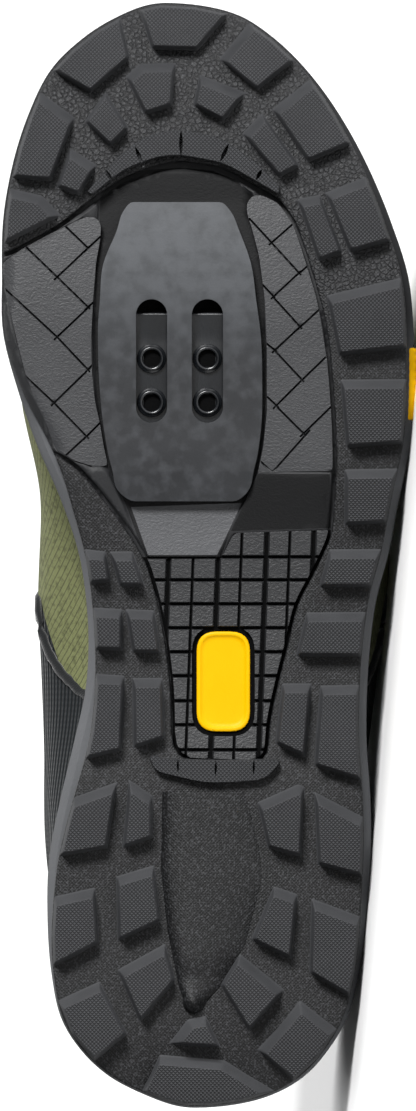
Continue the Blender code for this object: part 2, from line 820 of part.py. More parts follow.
def make_nut_plate(surface):
    """The threaded plate behind the slots, with a low boss round each bolt hole."""
    middle = NUT_SHARE * LENGTH
    span = np.linspace(middle - NUT_LENGTH / 2, middle + NUT_LENGTH / 2, 9)
    low = float(plate_z(span).max()) + CLEAR
    high = float(shell_z(span).min())
    outline = window(NUT_SHARE, CLEAT_ACROSS, NUT_LENGTH, NUT_WIDTH, NUT_CORNER)
    nut = prism("cleat_nut_plate", outline, low, high)
    nut.data.materials.append(surface)
    for row in (-1, 1):
        for side in (-1, 1):
            x = middle + row * BOLT_STEP / 2
            y = CLEAT_ACROSS + side * BOLT_PITCH / 2
            boss = prism(f"boss {row} {side}", circle(x, y, BOSS_RADIUS), low - BOSS_RISE, high - BOSS_SINK)
            boolean(nut, "UNION", boss)
            hole = prism(f"bolt {row} {side}", circle(x, y, BOLT_RADIUS, 12), *THROUGH)
            boolean(nut, "DIFFERENCE", hole)
    return nut


def make_sole_inlay(surface):
    """The small plain plate let into the waist of the sole."""
    outline = window(
        SOLE_INLAY_SHARE, SOLE_INLAY_ACROSS, SOLE_INLAY_LENGTH, SOLE_INLAY_WIDTH, SOLE_INLAY_CORNER
    )
    bm = bmesh.new()
    add_prism(
        bm,
        [(x, y, float(plate_z(x)) - SOLE_INLAY_RISE) for x, y in outline],
        [(x, y, float(shell_z(x))) for x, y in outline],
    )
    return finish_mesh("sole_inlay", bm, surface)


def side_bar(inset_low, inset_high, margin):
    """A bar along the midsole's outer side, between two depths under its face."""
    reach = SIDE_INLAY_LENGTH / 2 + margin
    middle = SIDE_INLAY_SHARE * LENGTH
    x = np.linspace(middle - reach, middle + reach, 5)
    lines = [Inset(depth).across(x, 1) for depth in (inset_high, inset_low)]
    low = float(shell_z(middle))
    centre = low + SIDE_INLAY_PLACE * (float(bed_z(middle)) + RIM_HEIGHT - low)
    half = SIDE_INLAY_HEIGHT / 2 + margin
    bm = bmesh.new()
    polygon = list(zip(x, lines[0])) + list(zip(x[::-1], lines[1][::-1]))
    add_prism(
        bm,
        [(a, b, centre - half) for a, b in polygon],
        [(a, b, centre + half) for a, b in polygon],
    )
    return bm


# Profile of the midsole's side: share of its height, inset as a share of the rim
MIDSOLE_SIDE = (
    (0.00, 0.55),
    (0.14, 0.00),
    (0.42, 0.12),
    (0.48, 0.34),
    (0.58, 0.36),
    (0.64, 0.18),
    (0.92, 0.26),
    (1.00, 0.38),
)


def make_midsole(surface):
    """A cup: a bed for the upper, inside a low rim."""
    rings = []
    for share, inset in MIDSOLE_SIDE:
        outline = Inset(inset * RIM)

        def height(x, share=share):
            low = shell_z(x) + CLEAR
            return low + share * (bed_z(x) + RIM_HEIGHT - low)

        rings.append(outline.ring(height))
    inside = Inset(RIM_WALL)
    rings.append(inside.ring(lambda x: bed_z(x) + RIM_HEIGHT))
    rings.append(inside.ring(bed_z))
    midsole = stack("midsole", rings, surface)
    pocket = finish_mesh("side pocket", side_bar(SIDE_INLAY_DEPTH + SIDE_INLAY_SINK + CLEAR, -0.004, CLEAR))
    boolean(midsole, "DIFFERENCE", pocket)
    return midsole


def make_side_inlay(surface):
    bar = side_bar(SIDE_INLAY_DEPTH + SIDE_INLAY_SINK, SIDE_INLAY_SINK, 0.0)
    return finish_mesh("side_inlay", bar, surface)


# Feather edge of the upper, just inside the midsole's rim
FEATHER = Inset(RIM_WALL + CLEAR)
LASTING_EDGE = Inset(RIM_WALL + CLEAR + FLANGE)
RIM_CLEARANCE = RIM_HEIGHT + RIM_GAP


def upper_stations():
    """Positions of the upper's sections, one of them at the front of the throat."""
    x = FEATHER.stations(UPPER_SECTIONS)
    front = int(np.argmin(np.abs(x - THROAT_FRONT * LENGTH)))
    x[front] = THROAT_FRONT * LENGTH
    return x, front


def section(x, side):
    """Key points of the upper's section on one side: foot, widest point and ridge."""
    share = x / LENGTH
    last_share = (x - FEATHER.start) / (FEATHER.end - FEATHER.start)
    foot = (float(FEATHER.across(x, side)), float(bed_z(x)) + CLEAR)
    wide = (side * float(LAST[side](last_share)), float(bed_z(x) + BULGE_CURVE(share)))
    ridge = (float(RIDGE_ACROSS(share)), float(bed_z(x) + RIDGE_HEIGHT(last_share)))
    return foot, wide, ridge


def lean(x, height):
    """Shift of the heel along the shoe at a height above the bed."""
    near_heel = max(0.0, 1 - x / (0.28 * LENGTH)) ** 2
    return float(LEAN_CURVE(height / COLLAR_HEIGHT)) * near_heel


def wall_point(x, side, rise):
    """A point of the upper's outer face. The rise is -1 at the rim's top, 0 at the widest line and
    1 on the ridge."""
    foot, wide, ridge = section(x, side)
    if rise <= 0:
        part = rise + 1
        low = foot[1] + RIM_CLEARANCE
        y = foot[0] + (wide[0] - foot[0]) * (1 - math.cos(math.pi * part)) / 2
        z = low + (wide[1] - low) * part
    else:
        turn = min(rise, 1) * math.pi / 2
        y = ridge[0] + (wide[0] - ridge[0]) * max(0.0, math.cos(turn)) ** DOME_POWER
        z = wide[1] + (ridge[1] - wide[1]) * math.sin(turn)
    return Vector((x + lean(x, z - float(bed_z(x))), y, z))


def rise_at_height(x, side, height):
    """The rise at which the wall reaches a height above the bed."""
    _, wide, ridge = section(x, side)
    part = (float(bed_z(x)) + height - wide[1]) / (ridge[1] - wide[1])
    return 1.0 if part >= 1 else math.asin(max(0.0, part)) * 2 / math.pi


def rise_at_gap(x, side, gap):
    """The rise at which the wall comes within a distance of the ridge, measured across."""
    _, wide, ridge = section(x, side)
    part = gap / abs(wide[0] - ridge[0])
    return 0.0 if part >= 1 else math.acos(part ** (1 / DOME_POWER)) * 2 / math.pi


def top_rise(x, side):
    """The rise of the upper's top edge: the collar at the back, the throat in front of it."""
    if x >= THROAT_FRONT * LENGTH - 1e-9:
        return 1.0
    share = x / LENGTH
    collar = rise_at_height(x, side, float(COLLAR_CURVE(share)))
    throat = rise_at_gap(x, side, float(THROAT_CURVE(share)))
    return min(collar, throat) if share > 0.42 else collar


def rises(x, side):
    """The rises of the wall's rows at a section, from the rim's top to the top edge."""
    top = top_rise(x, side)
    return list(WALL_ROWS) + [top * part for part in DOME_ROWS]


def make_upper(surface):
    x_rows, _ = upper_stations()
    count = len(x_rows)
    part = (x_rows - FEATHER.start) / (FEATHER.end - FEATHER.start)
    hem_x = LASTING_EDGE.start + (LASTING_EDGE.end - LASTING_EDGE.start) * part
    bm = bmesh.new()
    padding = []
    columns = []
    order = [(i, -1) for i in range(count)] + [(i, 1) for i in range(count - 2, 0, -1)]
    for i, side in order:
        x = float(x_rows[i])
        hem = float(hem_x[i])
        points = [Vector((hem, float(LASTING_EDGE.across(hem, side)), float(bed_z(hem)) + CLEAR))]
        foot = section(x, side)[0]
        points.append(Vector((x, foot[0], foot[1])))
        points += [wall_point(x, side, rise) for rise in rises(x, side)]
        columns.append([bm.verts.new(point) for point in points])
        for row in range(len(points)):
            near_top = min(1.0, max(0.0, (row - PADDED_ROW) / 3))
            padding.append(float(PADDING_CURVE(x / LENGTH)) * near_top)
    for left, right in zip(columns, columns[1:] + columns[:1]):
        for row in range(len(left) - 1):
            bm.faces.new((left[row], left[row + 1], right[row + 1], right[row]))
    layer = bm.verts.layers.deform.verify()
    for vert, extra in zip(bm.verts, padding):
        vert[layer][0] = (WALL + extra) / (WALL + COLLAR_PADDING)
    bmesh.ops.remove_doubles(bm, verts=bm.verts[:], dist=1e-5)
    upper = open_sheet("upper", bm, surface)
    group = upper.vertex_groups.new(name="wall")
    shell = thicken(upper, WALL + COLLAR_PADDING)
    shell.vertex_group = group.name
    return upper


def open_sheet(name, bm, surface):
    """An object from an open sheet of the upper, with its faces turned away from the foot."""
    bmesh.ops.recalc_face_normals(bm, faces=bm.faces[:])
    bm.normal_update()
    middle = Vector((0.5 * LENGTH, 0.0, 0.04))
    outward = sum(
        face.normal.dot(face.calc_center_median() - middle) * face.calc_area() for face in bm.faces
    )
    if outward < 0:
        bmesh.ops.reverse_faces(bm, faces=bm.faces[:])
    mesh = bpy.data.meshes.new(name)
    bm.to_mesh(mesh)
    bm.free()
    mesh.materials.append(surface)
    made = bpy.data.objects.new(name, mesh)
    bpy.context.collection.objects.link(made)
    return made


def thicken(sheet, thickness):
    shell = sheet.modifiers.new("wall", "SOLIDIFY")
    shell.thickness = thickness
    shell.offset = -1
    shell.use_even_offset = True
    return shell


def cover(name, grids, lift, thickness, surface):
    """A thin closed sheet over grids of points of the wall, lifted along their normals."""
    bm = bmesh.new()
    for grid in grids:
        rows = [[bm.verts.new(point) for point in row] for row in grid]
        for a, b in zip(rows, rows[1:]):
            for i in range(len(a) - 1):
                bm.faces.new((a[i], a[i + 1], b[i + 1], b[i]))
    bmesh.ops.remove_doubles(bm, verts=bm.verts[:], dist=1e-5)
    made = open_sheet(name, bm, surface)
    normals = [vert.normal.copy() for vert in made.data.vertices]
    for vert, normal in zip(made.data.vertices, normals):
        vert.co += normal * lift
    thicken(made, thickness)
    return made


def along_rows(x, side, start, stop, count):
    """Points up the wall's facets at a section, between two places counted in rows."""
    line = rises(x, side)
    points = []
    for place in np.linspace(start, stop, count):
        row = min(int(place), len(line) - 2)
        low = wall_point(x, side, line[row])
        high = wall_point(x, side, line[row + 1])
        points.append(low.lerp(high, place - row))
    return points


def make_overlay(name, surface, columns, lowest, count):
    """A layer over the wall. Each column is a section's position, its side and its top row."""
    grid = [along_rows(x, side, lowest(x), top, count) for x, side, top in columns]
    return cover(name, [grid], CLEAR + OVERLAY_LIFT, OVERLAY_THICKNESS, surface)


def make_toe_cap(surface):
    """A guard round the toe, between the sole's rim and a curved line over the toes."""
    x_rows = [float(x) for x in upper_stations()[0] if x > TOE_CAP_BACK * LENGTH]
    span = x_rows[-1] - x_rows[0]
    tops = [TOE_CAP_LOWEST + TOE_CAP_ROWS * math.sqrt((x - x_rows[0]) / span) for x in x_rows]
    inner = [(x, -1, top) for x, top in zip(x_rows, tops)]
    outer = [(x, 1, top) for x, top in zip(x_rows, tops)]
    return make_overlay("toe_cap", surface, inner + outer[-2::-1], lambda x: OVERLAY_FOOT, OVERLAY_STEPS)


def make_heel_counter(surface):
    """A stiffener round the back of the heel."""
    x_rows = [float(x) for x in upper_stations()[0] if x < COUNTER_FRONT * LENGTH]
    tops = [COUNTER_LOWEST + COUNTER_ROWS * math.sqrt(1 - x / x_rows[-1]) for x in x_rows]
    inner = [(x, -1, top) for x, top in zip(x_rows, tops)]
    outer = [(x, 1, top) for x, top in zip(x_rows, tops)]
    columns = inner[::-1] + outer[1:]
    return make_overlay("heel_counter", surface, columns, lambda x: OVERLAY_FOOT, OVERLAY_STEPS)


def make_eyestay(surface):
    """The reinforced edge of the throat, in one piece round its front."""
    x_rows, front = upper_stations()
    back = next(i for i, x in enumerate(x_rows) if x > EYESTAY_BACK * LENGTH)
    last = len(WALL_ROWS) + len(DOME_ROWS) - 1
    chosen = [float(x) for x in x_rows[back : front + 2]]
    inner = [(x, -1, last) for x in chosen]
    outer = [(x, 1, last) for x in chosen]
    lowest = last - EYESTAY_ROWS
    halves = [
        [along_rows(x, side, lowest, top, 4) for x, side, top in columns]
        for columns in (inner, outer)
    ]
    return cover("eyestay", halves, CLEAR + OVERLAY_LIFT, OVERLAY_THICKNESS, surface)


def make_tongue(surface):
    """A padded tongue under the throat, from beneath the vamp to above the collar."""
    grid = []
    reach = TONGUE_FRONT - TONGUE_BACK
    for share in np.linspace(TONGUE_BACK, TONGUE_FRONT, 9):
        x = share * LENGTH
        row = []
        for part in np.linspace(-1, 1, 9):
            side = -1 if part < 0 else 1
            half = TONGUE_WIDTH / 2 * (1 - TONGUE_TAPER * (share - TONGUE_BACK) / reach)
            rise = rise_at_gap(x, side, abs(part) * half)
            row.append(wall_point(x, side, rise))
        grid.append(row)
    return cover("tongue", [grid], -WALL - TONGUE_CLEARANCE, TONGUE_THICKNESS, surface)


def wall_normal(x, side, rise):
    """Direction away from the foot at a point of the wall."""
    step = 0.02 if rise < 0.9 else -0.02
    here = wall_point(x, side, rise)
    up = (wall_point(x, side, rise + step) - here) * math.copysign(1, step)
    ahead = wall_point(x + 0.002, side, rise) - wall_point(x - 0.002, side, rise)
    normal = up.cross(ahead).normalized() * -side
    return normal if normal.z > 0 else -normal


def over_wall(x, across, lift):
    """A point above the wall, at a distance across from the ridge."""
    side = -1 if across < 0 else 1
    rise = rise_at_gap(x, side, abs(across))
    return wall_point(x, side, rise) + wall_normal(x, side, rise) * lift


def eyelet_places():
    """Each lace row's position along the shoe and distance across from the ridge."""
    shares = np.linspace(LACE_FRONT, LACE_BACK, LACE_ROWS)
    return [(share * LENGTH, float(THROAT_CURVE(share)) + EYELET_SETBACK) for share in shares]


STAY_TOP = CLEAR + OVERLAY_LIFT
EYELET_TOP = STAY_TOP + CLEAR + EYELET_THICKNESS
LACE_LIFT = EYELET_TOP + CLEAR + LACE_RADIUS


def make_eyelets(surface):
    """Metal rings on the eyestay, a pair for each row of the lace."""
    made = []
    for row, (x, across) in enumerate(eyelet_places(), 1):
        for name, side in (("inner", -1), ("outer", 1)):
            rise = rise_at_gap(x, side, across)
            centre = wall_point(x, side, rise)
            axis = wall_normal(x, side, rise)
            along = (Vector((1, 0, 0)) - axis * axis.x).normalized()
            cross = axis.cross(along)
            bm = bmesh.new()
            rings = []
            low, high = EYELET_TOP - EYELET_THICKNESS, EYELET_TOP
            for radius, lift in (
                (EYELET_RADIUS, low), (EYELET_RADIUS, high), (EYELET_HOLE, high), (EYELET_HOLE, low)
            ):
                ring = []
                for u, v in circle(0, 0, radius, 10):
                    ring.append(bm.verts.new(centre + axis * lift + along * u + cross * v))
                rings.append(ring)
            for a, b in zip(rings, rings[1:] + rings[:1]):
                for i in range(len(a)):
                    j = (i + 1) % len(a)
                    bm.faces.new((a[i], a[j], b[j], b[i]))
            made.append(finish_mesh(f"eyelet_{name}_{row}", bm, surface))
    return made


def add_tube(bm, points, radius, sides=8):
    """A closed tube along a few points over the instep."""
    rings = []
    for i, point in enumerate(points):
        ahead = points[min(i + 1, len(points) - 1)] - points[max(i - 1, 0)]
        ahead.normalize()
        side = ahead.cross(Vector((0, 0, 1))).normalized()
        up = side.cross(ahead)
        ring = [bm.verts.new(point + side * u + up * v) for u, v in circle(0, 0, radius, sides)]
        rings.append(ring)
    for a, b in zip(rings, rings[1:]):
        for i in range(sides):
            j = (i + 1) % sides
            bm.faces.new((a[i], a[j], b[j], b[i]))
    bm.faces.new(rings[0][::-1])
    bm.faces.new(rings[-1])


def make_lace(surface):
    """The lace's crossings over the tongue, joined where they cross and at the eyelets."""
    places = eyelet_places()
    runs = [(places[0], -1, places[0], 1)]
    for front, back in zip(places, places[1:]):
        runs.append((front, -1, back, 1))
        runs.append((front, 1, back, -1))
    tubes = []
    for (x0, across0), side0, (x1, across1), side1 in runs:
        points = []
        for part in np.linspace(0, 1, 7):
            across = side0 * across0 * (1 - part) + side1 * across1 * part
            points.append(over_wall(x0 + (x1 - x0) * part, across, LACE_LIFT))
        bm = bmesh.new()
        add_tube(bm, points, LACE_RADIUS)
        tubes.append(finish_mesh(f"lace run {len(tubes)}", bm, surface))
    lace = tubes[0]
    lace.name = "lace_crossings"
    for tube in tubes[1:]:
        boolean(lace, "UNION", tube)
    return lace


def make_insole(surface):
    edge = Inset(RIM_WALL + CLEAR + WALL + INSOLE_CLEARANCE)
    bottom = edge.ring(lambda x: bed_z(x) + CLEAR + WALL + CLEAR)
    top = edge.ring(lambda x: bed_z(x) + CLEAR + WALL + CLEAR + INSOLE_THICKNESS)
    return stack("insole", [bottom, top], surface)


def lay_down(objects):
    """Turns the shoe about its outer side onto the facet that it rests on, toe along +X."""
    bpy.context.view_layer.update()
    graph = bpy.context.evaluated_depsgraph_get()
    points = []
    moment = Vector((0, 0, 0))
    mass = 0.0
    for obj in objects:
        mesh = obj.evaluated_get(graph).to_mesh()
        mesh.calc_loop_triangles()
        corners = [vert.co.copy() for vert in mesh.vertices]
        points += corners
        weight = DENSITY.get(obj.name, DENSITY["other"])
        for triangle in mesh.loop_triangles:
            a, b, c = (corners[i] for i in triangle.vertices)
            volume = a.dot(b.cross(c)) / 6 * weight
            moment += (a + b + c) / 4 * volume
            mass += volume
    centre = moment / mass
    bm = bmesh.new()
    for point in points:
        bm.verts.new(point)
    bmesh.ops.convex_hull(bm, input=bm.verts[:], use_existing_faces=False)
    bmesh.ops.triangulate(bm, faces=bm.faces[:])
    bm.normal_update()
    best, best_turn = None, 0.0
    for face in bm.faces:
        normal = face.normal
        if normal.dot(face.verts[0].co - centre) < 0:
            normal = -normal
        spot = centre + normal * normal.dot(face.verts[0].co - centre)
        a, b, c = (vert.co for vert in face.verts)
        sides = [(q - p).cross(spot - p).dot(normal) for p, q in ((a, b), (b, c), (c, a))]
        if min(sides) * max(sides) < 0 or normal.y < best_turn:
            continue
        best, best_turn = normal.copy(), normal.y
    bm.free()
    down = best
    toe = Vector((1, 0, 0))
    toe = (toe - down * toe.dot(down)).normalized()
    left = (-down).cross(toe)
    turn = Matrix((toe, left, -down))
    placed = [turn @ point for point in points]
    low = [min(point[k] for point in placed) for k in range(3)]
    high = [max(point[k] for point in placed) for k in range(3)]
    shift = Vector((-(low[0] + high[0]) / 2, -(low[1] + high[1]) / 2, -low[2]))
    return Matrix.Translation(shift) @ turn.to_4x4()


def main():
    for obj in list(bpy.data.objects):
        bpy.data.objects.remove(obj)
    rubber = material("outsole rubber", (0.030, 0.031, 0.033), 0.62)
    foam = material("midsole foam", (0.14, 0.14, 0.145), 0.75)
    plate = material("plate plastic", (0.030, 0.031, 0.033), 0.55)
    pad = material("pad plastic", (0.045, 0.047, 0.052), 0.38)
    steel = material("dark steel", (0.02, 0.02, 0.022), 0.30, 1.0)
    yellow = material("yellow plastic", (1.0, 0.60, 0.0), 0.45)
    green = material("green textile", (0.16, 0.18, 0.08), 0.85)
    black = material("black textile", (0.025, 0.032, 0.037), 0.85)
    lace = material("black cord", (0.02, 0.02, 0.022), 0.8)
    objects = [
        make_outsole(rubber),
        make_shank_plate(plate),
        make_cleat_pad(pad),
        make_nut_plate(steel),
        make_sole_inlay(yellow),
        make_midsole(foam),
        make_side_inlay(yellow),
        make_upper(green),
        make_toe_cap(rubber),
        make_heel_counter(black),
        make_eyestay(black),
        make_tongue(black),
        make_insole(black),
        make_lace(lace),
    ]
    objects += make_eyelets(steel)
    carrier = bpy.data.objects.new("lying frame", None)
    bpy.context.collection.objects.link(carrier)
    for obj in bpy.data.objects:
        if obj.type == "MESH":
            obj.parent = carrier
    carrier.matrix_world = lay_down(objects)
    for obj in objects:
        if obj.name in ("upper", "midsole", "tongue", "insole"):
            obj.data.shade_smooth()


main()
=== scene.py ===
"""Looks of a left off-road cycling shoe that lies on its outer side, with the tread to the camera.

The pieces are built upright, in the shoe's own frame: +X runs from heel to toe, +Y to the outer side
of the foot and +Z up from the plane of the tread. Each mesh then takes the turn that lays the shoe
down, which is read from the cleat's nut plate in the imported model. Lengths are in metres.
"""

import math

import bmesh
import bpy
import numpy as np
from mathutils import Matrix, Vector, geometry


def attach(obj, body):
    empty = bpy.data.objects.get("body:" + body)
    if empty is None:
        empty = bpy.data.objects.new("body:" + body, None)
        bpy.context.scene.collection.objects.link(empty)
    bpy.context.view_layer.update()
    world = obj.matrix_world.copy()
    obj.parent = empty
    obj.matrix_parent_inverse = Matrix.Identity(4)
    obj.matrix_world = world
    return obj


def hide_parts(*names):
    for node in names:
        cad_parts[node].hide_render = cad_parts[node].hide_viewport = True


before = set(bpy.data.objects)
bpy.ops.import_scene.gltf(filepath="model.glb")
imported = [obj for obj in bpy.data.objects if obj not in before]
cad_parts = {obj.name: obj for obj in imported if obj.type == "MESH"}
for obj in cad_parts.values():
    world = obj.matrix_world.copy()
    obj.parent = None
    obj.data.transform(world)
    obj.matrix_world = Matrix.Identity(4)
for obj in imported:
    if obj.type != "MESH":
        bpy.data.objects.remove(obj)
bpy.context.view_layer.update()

# Lengths and widths of the sole
LENGTH = 0.278
HEEL_WIDTH = 0.081
BALL_WIDTH = 0.1025
RIM = 0.0035

# Heights of the sole
LUG_HEIGHT = 0.0048
BASE_THICKNESS = 0.0030
PLATE_THICKNESS = 0.0016
HEEL_STACK = 0.027
BALL_STACK = 0.0160
TOE_SPRING = 0.020
HEEL_SPRING = 0.004
ARCH_RISE = 0.0025
RIM_WALL = 0.0028
RIM_HEIGHT = 0.0040

# Tread blocks
TOE_BEVEL = 0.0021
DRAFT = 0.0007
KEEL_HEIGHT = 0.0026
BUMPER_HEIGHT = 0.0036

# Cleat fitting
PAD_THICKNESS = 0.0022
CLEAT_SHARE = 0.6745
CLEAT_ACROSS = -0.0069
BOLT_PITCH = 0.014
BOLT_STEP = 0.011
SLOT_LENGTH = 0.031
SLOT_WIDTH = 0.0078
NUT_LENGTH = 0.034
NUT_WIDTH = 0.027
NUT_SHARE = 0.657

# Inlays
SOLE_INLAY_LENGTH = 0.0255
SOLE_INLAY_WIDTH = 0.0138
SOLE_INLAY_SHARE = 0.3854
SOLE_INLAY_ACROSS = 0.0041
SIDE_INLAY_LENGTH = 0.0183
SIDE_INLAY_HEIGHT = 0.0050
SIDE_INLAY_DEPTH = 0.0012
SIDE_INLAY_SHARE = 0.654
SIDE_INLAY_PLACE = 0.34
SIDE_INLAY_SINK = 0.0005

# Upper
WALL = 0.0022
FLANGE = 0.0085
COLLAR_PADDING = 0.0062
INSTEP_HEIGHT = 0.085
COLLAR_HEIGHT = 0.054
BULGE_HEIGHT = 0.020
HEEL_LEAN = 0.006
DOME_POWER = 0.86
THROAT_FRONT = 0.725
THROAT_WIDTH = 0.034
OVERLAY_THICKNESS = 0.0010
OVERLAY_LIFT = 0.0015
TOE_CAP_BACK = 0.84
TOE_CAP_ROWS = 4.0
COUNTER_FRONT = 0.175
COUNTER_ROWS = 4.0
EYESTAY_BACK = 0.50
EYESTAY_ROWS = 3.0
TONGUE_WIDTH = 0.050
TONGUE_THICKNESS = 0.0045
TONGUE_CLEARANCE = 0.0018
TONGUE_BACK = 0.435
TONGUE_FRONT = 0.765
INSOLE_THICKNESS = 0.0040
INSOLE_CLEARANCE = 0.0020

# Lacing
LACE_RADIUS = 0.0016
LACE_ROWS = 5
LACE_BACK = 0.525
LACE_FRONT = 0.690
EYELET_SETBACK = 0.0068
EYELET_RADIUS = 0.0034
EYELET_HOLE = 0.0019
EYELET_THICKNESS = 0.0008

# Gap between neighbouring pieces
CLEAR = 0.0003

# Outline of the sole: share of the length, inner side, outer side.
# The heel's rows are shares of the heel's width, the ball's rows of the ball's width.
OUTLINE_HEEL = (
    (0.00, 0.037, -0.037),
    (0.01, 0.177, 0.185),
    (0.03, 0.309, 0.306),
    (0.05, 0.383, 0.368),
    (0.08, 0.449, 0.430),
    (0.12, 0.480, 0.470),
    (0.17, 0.493, 0.493),
    (0.23, 0.486, 0.507),
    (0.28, 0.452, 0.505),
    (0.33, 0.411, 0.493),
    (0.38, 0.374, 0.495),
)
OUTLINE_BALL = (
    (0.42, 0.289, 0.399),
    (0.46, 0.295, 0.414),
    (0.50, 0.312, 0.443),
    (0.55, 0.357, 0.469),
    (0.60, 0.416, 0.498),
    (0.65, 0.463, 0.506),
    (0.70, 0.498, 0.505),
    (0.75, 0.501, 0.492),
    (0.80, 0.499, 0.450),
    (0.85, 0.477, 0.394),
    (0.90, 0.435, 0.320),
    (0.94, 0.380, 0.240),
    (0.97, 0.296, 0.156),
    (0.99, 0.205, 0.068),
    (1.00, 0.102, -0.102),
)

# How far the rubber's edge lies inside the outline: share of the length, inner side and outer side
# as shares of the rim
RUBBER_EDGE = (
    (0.00, 0.15, 0.15),
    (0.15, 0.20, 0.35),
    (0.21, 0.55, 0.50),
    (0.28, 0.85, 0.50),
    (0.33, 1.00, 0.50),
    (0.38, 0.60, 0.50),
    (0.46, 0.35, 0.50),
    (0.53, 0.45, 0.50),
    (0.59, 0.85, 0.50),
    (0.65, 0.25, 0.50),
    (0.75, 0.12, 0.45),
    (0.85, 0.12, 0.35),
    (0.95, 0.12, 0.15),
    (1.00, 0.12, 0.12),
)

# Rise of the tread above the floor: share of the length, then shares of the toe spring, the heel
# spring and the arch's rise
TREAD_RISE = (
    (0.00, 0.00, 1.00, 0.00),
    (0.04, 0.00, 0.35, 0.00),
    (0.09, 0.00, 0.00, 0.00),
    (0.28, 0.00, 0.00, 0.00),
    (0.36, 0.00, 0.00, 0.70),
    (0.44, 0.00, 0.00, 1.00),
    (0.52, 0.00, 0.00, 0.60),
    (0.59, 0.00, 0.00, 0.00),
    (0.70, 0.00, 0.00, 0.00),
    (0.78, 0.08, 0.00, 0.00),
    (0.86, 0.28, 0.00, 0.00),
    (0.93, 0.58, 0.00, 0.00),
    (1.00, 1.00, 0.00, 0.00),
)

# Height of the foot bed above the tread: share of the length, shares of the heel's and ball's stack
STACK = (
    (0.00, 1.00, 0.00),
    (0.30, 0.97, 0.03),
    (0.45, 0.60, 0.40),
    (0.60, 0.12, 0.88),
    (0.70, 0.00, 1.00),
    (0.85, 0.00, 0.93),
    (1.00, 0.00, 0.75),
)

# Widest line of the upper: share of the length, inner side, outer side, as for the outline
LAST_HEEL = (
    (0.00, 0.037, -0.037),
    (0.02, 0.222, 0.173),
    (0.05, 0.333, 0.296),
    (0.10, 0.420, 0.390),
    (0.15, 0.468, 0.435),
    (0.20, 0.496, 0.468),
    (0.27, 0.513, 0.492),
    (0.33, 0.513, 0.510),
)
LAST_BALL = (
    (0.40, 0.411, 0.425),
    (0.45, 0.417, 0.440),
    (0.50, 0.412, 0.449),
    (0.55, 0.416, 0.458),
    (0.60, 0.435, 0.475),
    (0.65, 0.459, 0.479),
    (0.70, 0.468, 0.473),
    (0.75, 0.468, 0.454),
    (0.80, 0.458, 0.415),
    (0.85, 0.434, 0.356),
    (0.90, 0.385, 0.278),
    (0.94, 0.327, 0.200),
    (0.97, 0.250, 0.112),
    (0.99, 0.170, 0.030),
    (1.00, 0.102, -0.102),
)

# Ridge of the last above the foot bed: share of the length, share of the instep's height, and how
# far the ridge stands to the outer side, as a share of the ball's width
RIDGE = (
    (0.00, 0.90, -0.020),
    (0.15, 0.90, -0.015),
    (0.25, 0.88, -0.010),
    (0.30, 0.95, -0.005),
    (0.36, 1.07, 0.000),
    (0.42, 1.13, 0.000),
    (0.46, 1.07, -0.005),
    (0.50, 1.00, -0.010),
    (0.56, 0.91, -0.020),
    (0.62, 0.83, -0.035),
    (0.68, 0.735, -0.050),
    (0.74, 0.635, -0.070),
    (0.80, 0.545, -0.088),
    (0.86, 0.465, -0.100),
    (0.92, 0.370, -0.108),
    (0.96, 0.290, -0.108),
    (0.985, 0.210, -0.104),
    (1.00, 0.130, -0.102),
)

# Height of the widest line above the foot bed, as a share of the bulge's height
BULGE = (
    (0.00, 0.95),
    (0.30, 1.05),
    (0.50, 0.90),
    (0.60, 0.85),
    (0.70, 0.78),
    (0.85, 0.65),
    (0.95, 0.48),
    (1.00, 0.36),
)

# Top line of the collar above the foot bed, as a share of the collar's height
COLLAR = (
    (0.00, 1.00),
    (0.05, 1.00),
    (0.10, 0.94),
    (0.18, 0.82),
    (0.25, 0.79),
    (0.32, 0.85),
    (0.38, 1.00),
    (0.44, 1.21),
    (0.48, 1.38),
    (0.55, 1.75),
)

# Half of the throat's gap, as a share of the throat's width
THROAT = (
    (0.45, 0.50),
    (0.52, 0.48),
    (0.60, 0.40),
    (0.66, 0.31),
    (0.70, 0.20),
    (0.725, 0.00),
)

# Backward lean of the heel: share of the collar's height, share of the lean
LEAN = (
    (0.00, 0.00),
    (0.10, 0.00),
    (0.36, -0.40),
    (0.70, 0.15),
    (1.00, 1.00),
    (2.00, 3.00),
)

# Thickness of the upper's wall, as a share of the collar's padding added to it
PADDING = (
    (0.00, 1.00),
    (0.30, 1.00),
    (0.38, 0.75),
    (0.45, 0.10),
    (0.48, 0.00),
    (1.00, 0.00),
)

# Corners of the tread blocks. An edge block runs along the rubber's edge between two shares of the
# length, inner side negative, and has two inner corners: share of the length, share of the width.
EDGE_BLOCKS_BALL = (
    (-0.996, 0.992, (0.957, -0.024), (0.958, -0.135)),
    (-0.940, -0.988, (0.949, -0.191), (0.918, -0.286)),
    (-0.842, -0.919, (0.894, -0.325), (0.838, -0.382)),
    (-0.782, -0.831, (0.823, -0.404), (0.806, -0.360)),
    (0.983, 0.949, (0.920, 0.122), (0.948, 0.032)),
    (0.931, 0.873, (0.855, 0.247), (0.902, 0.161)),
    (0.842, 0.785, (0.773, 0.350), (0.826, 0.291)),
    (0.750, 0.688, (0.680, 0.323), (0.733, 0.294)),
    (0.658, 0.601, (0.597, 0.342), (0.657, 0.328)),
    (0.577, 0.529, (0.527, 0.338), (0.576, 0.338)),
    (0.504, 0.471, (0.471, 0.276), (0.504, 0.301)),
    (0.447, 0.408, (0.409, 0.220), (0.447, 0.245)),
    (-0.474, -0.504, (0.502, -0.249), (0.476, -0.237)),
    (-0.414, -0.451, (0.450, -0.208), (0.414, -0.208)),
)
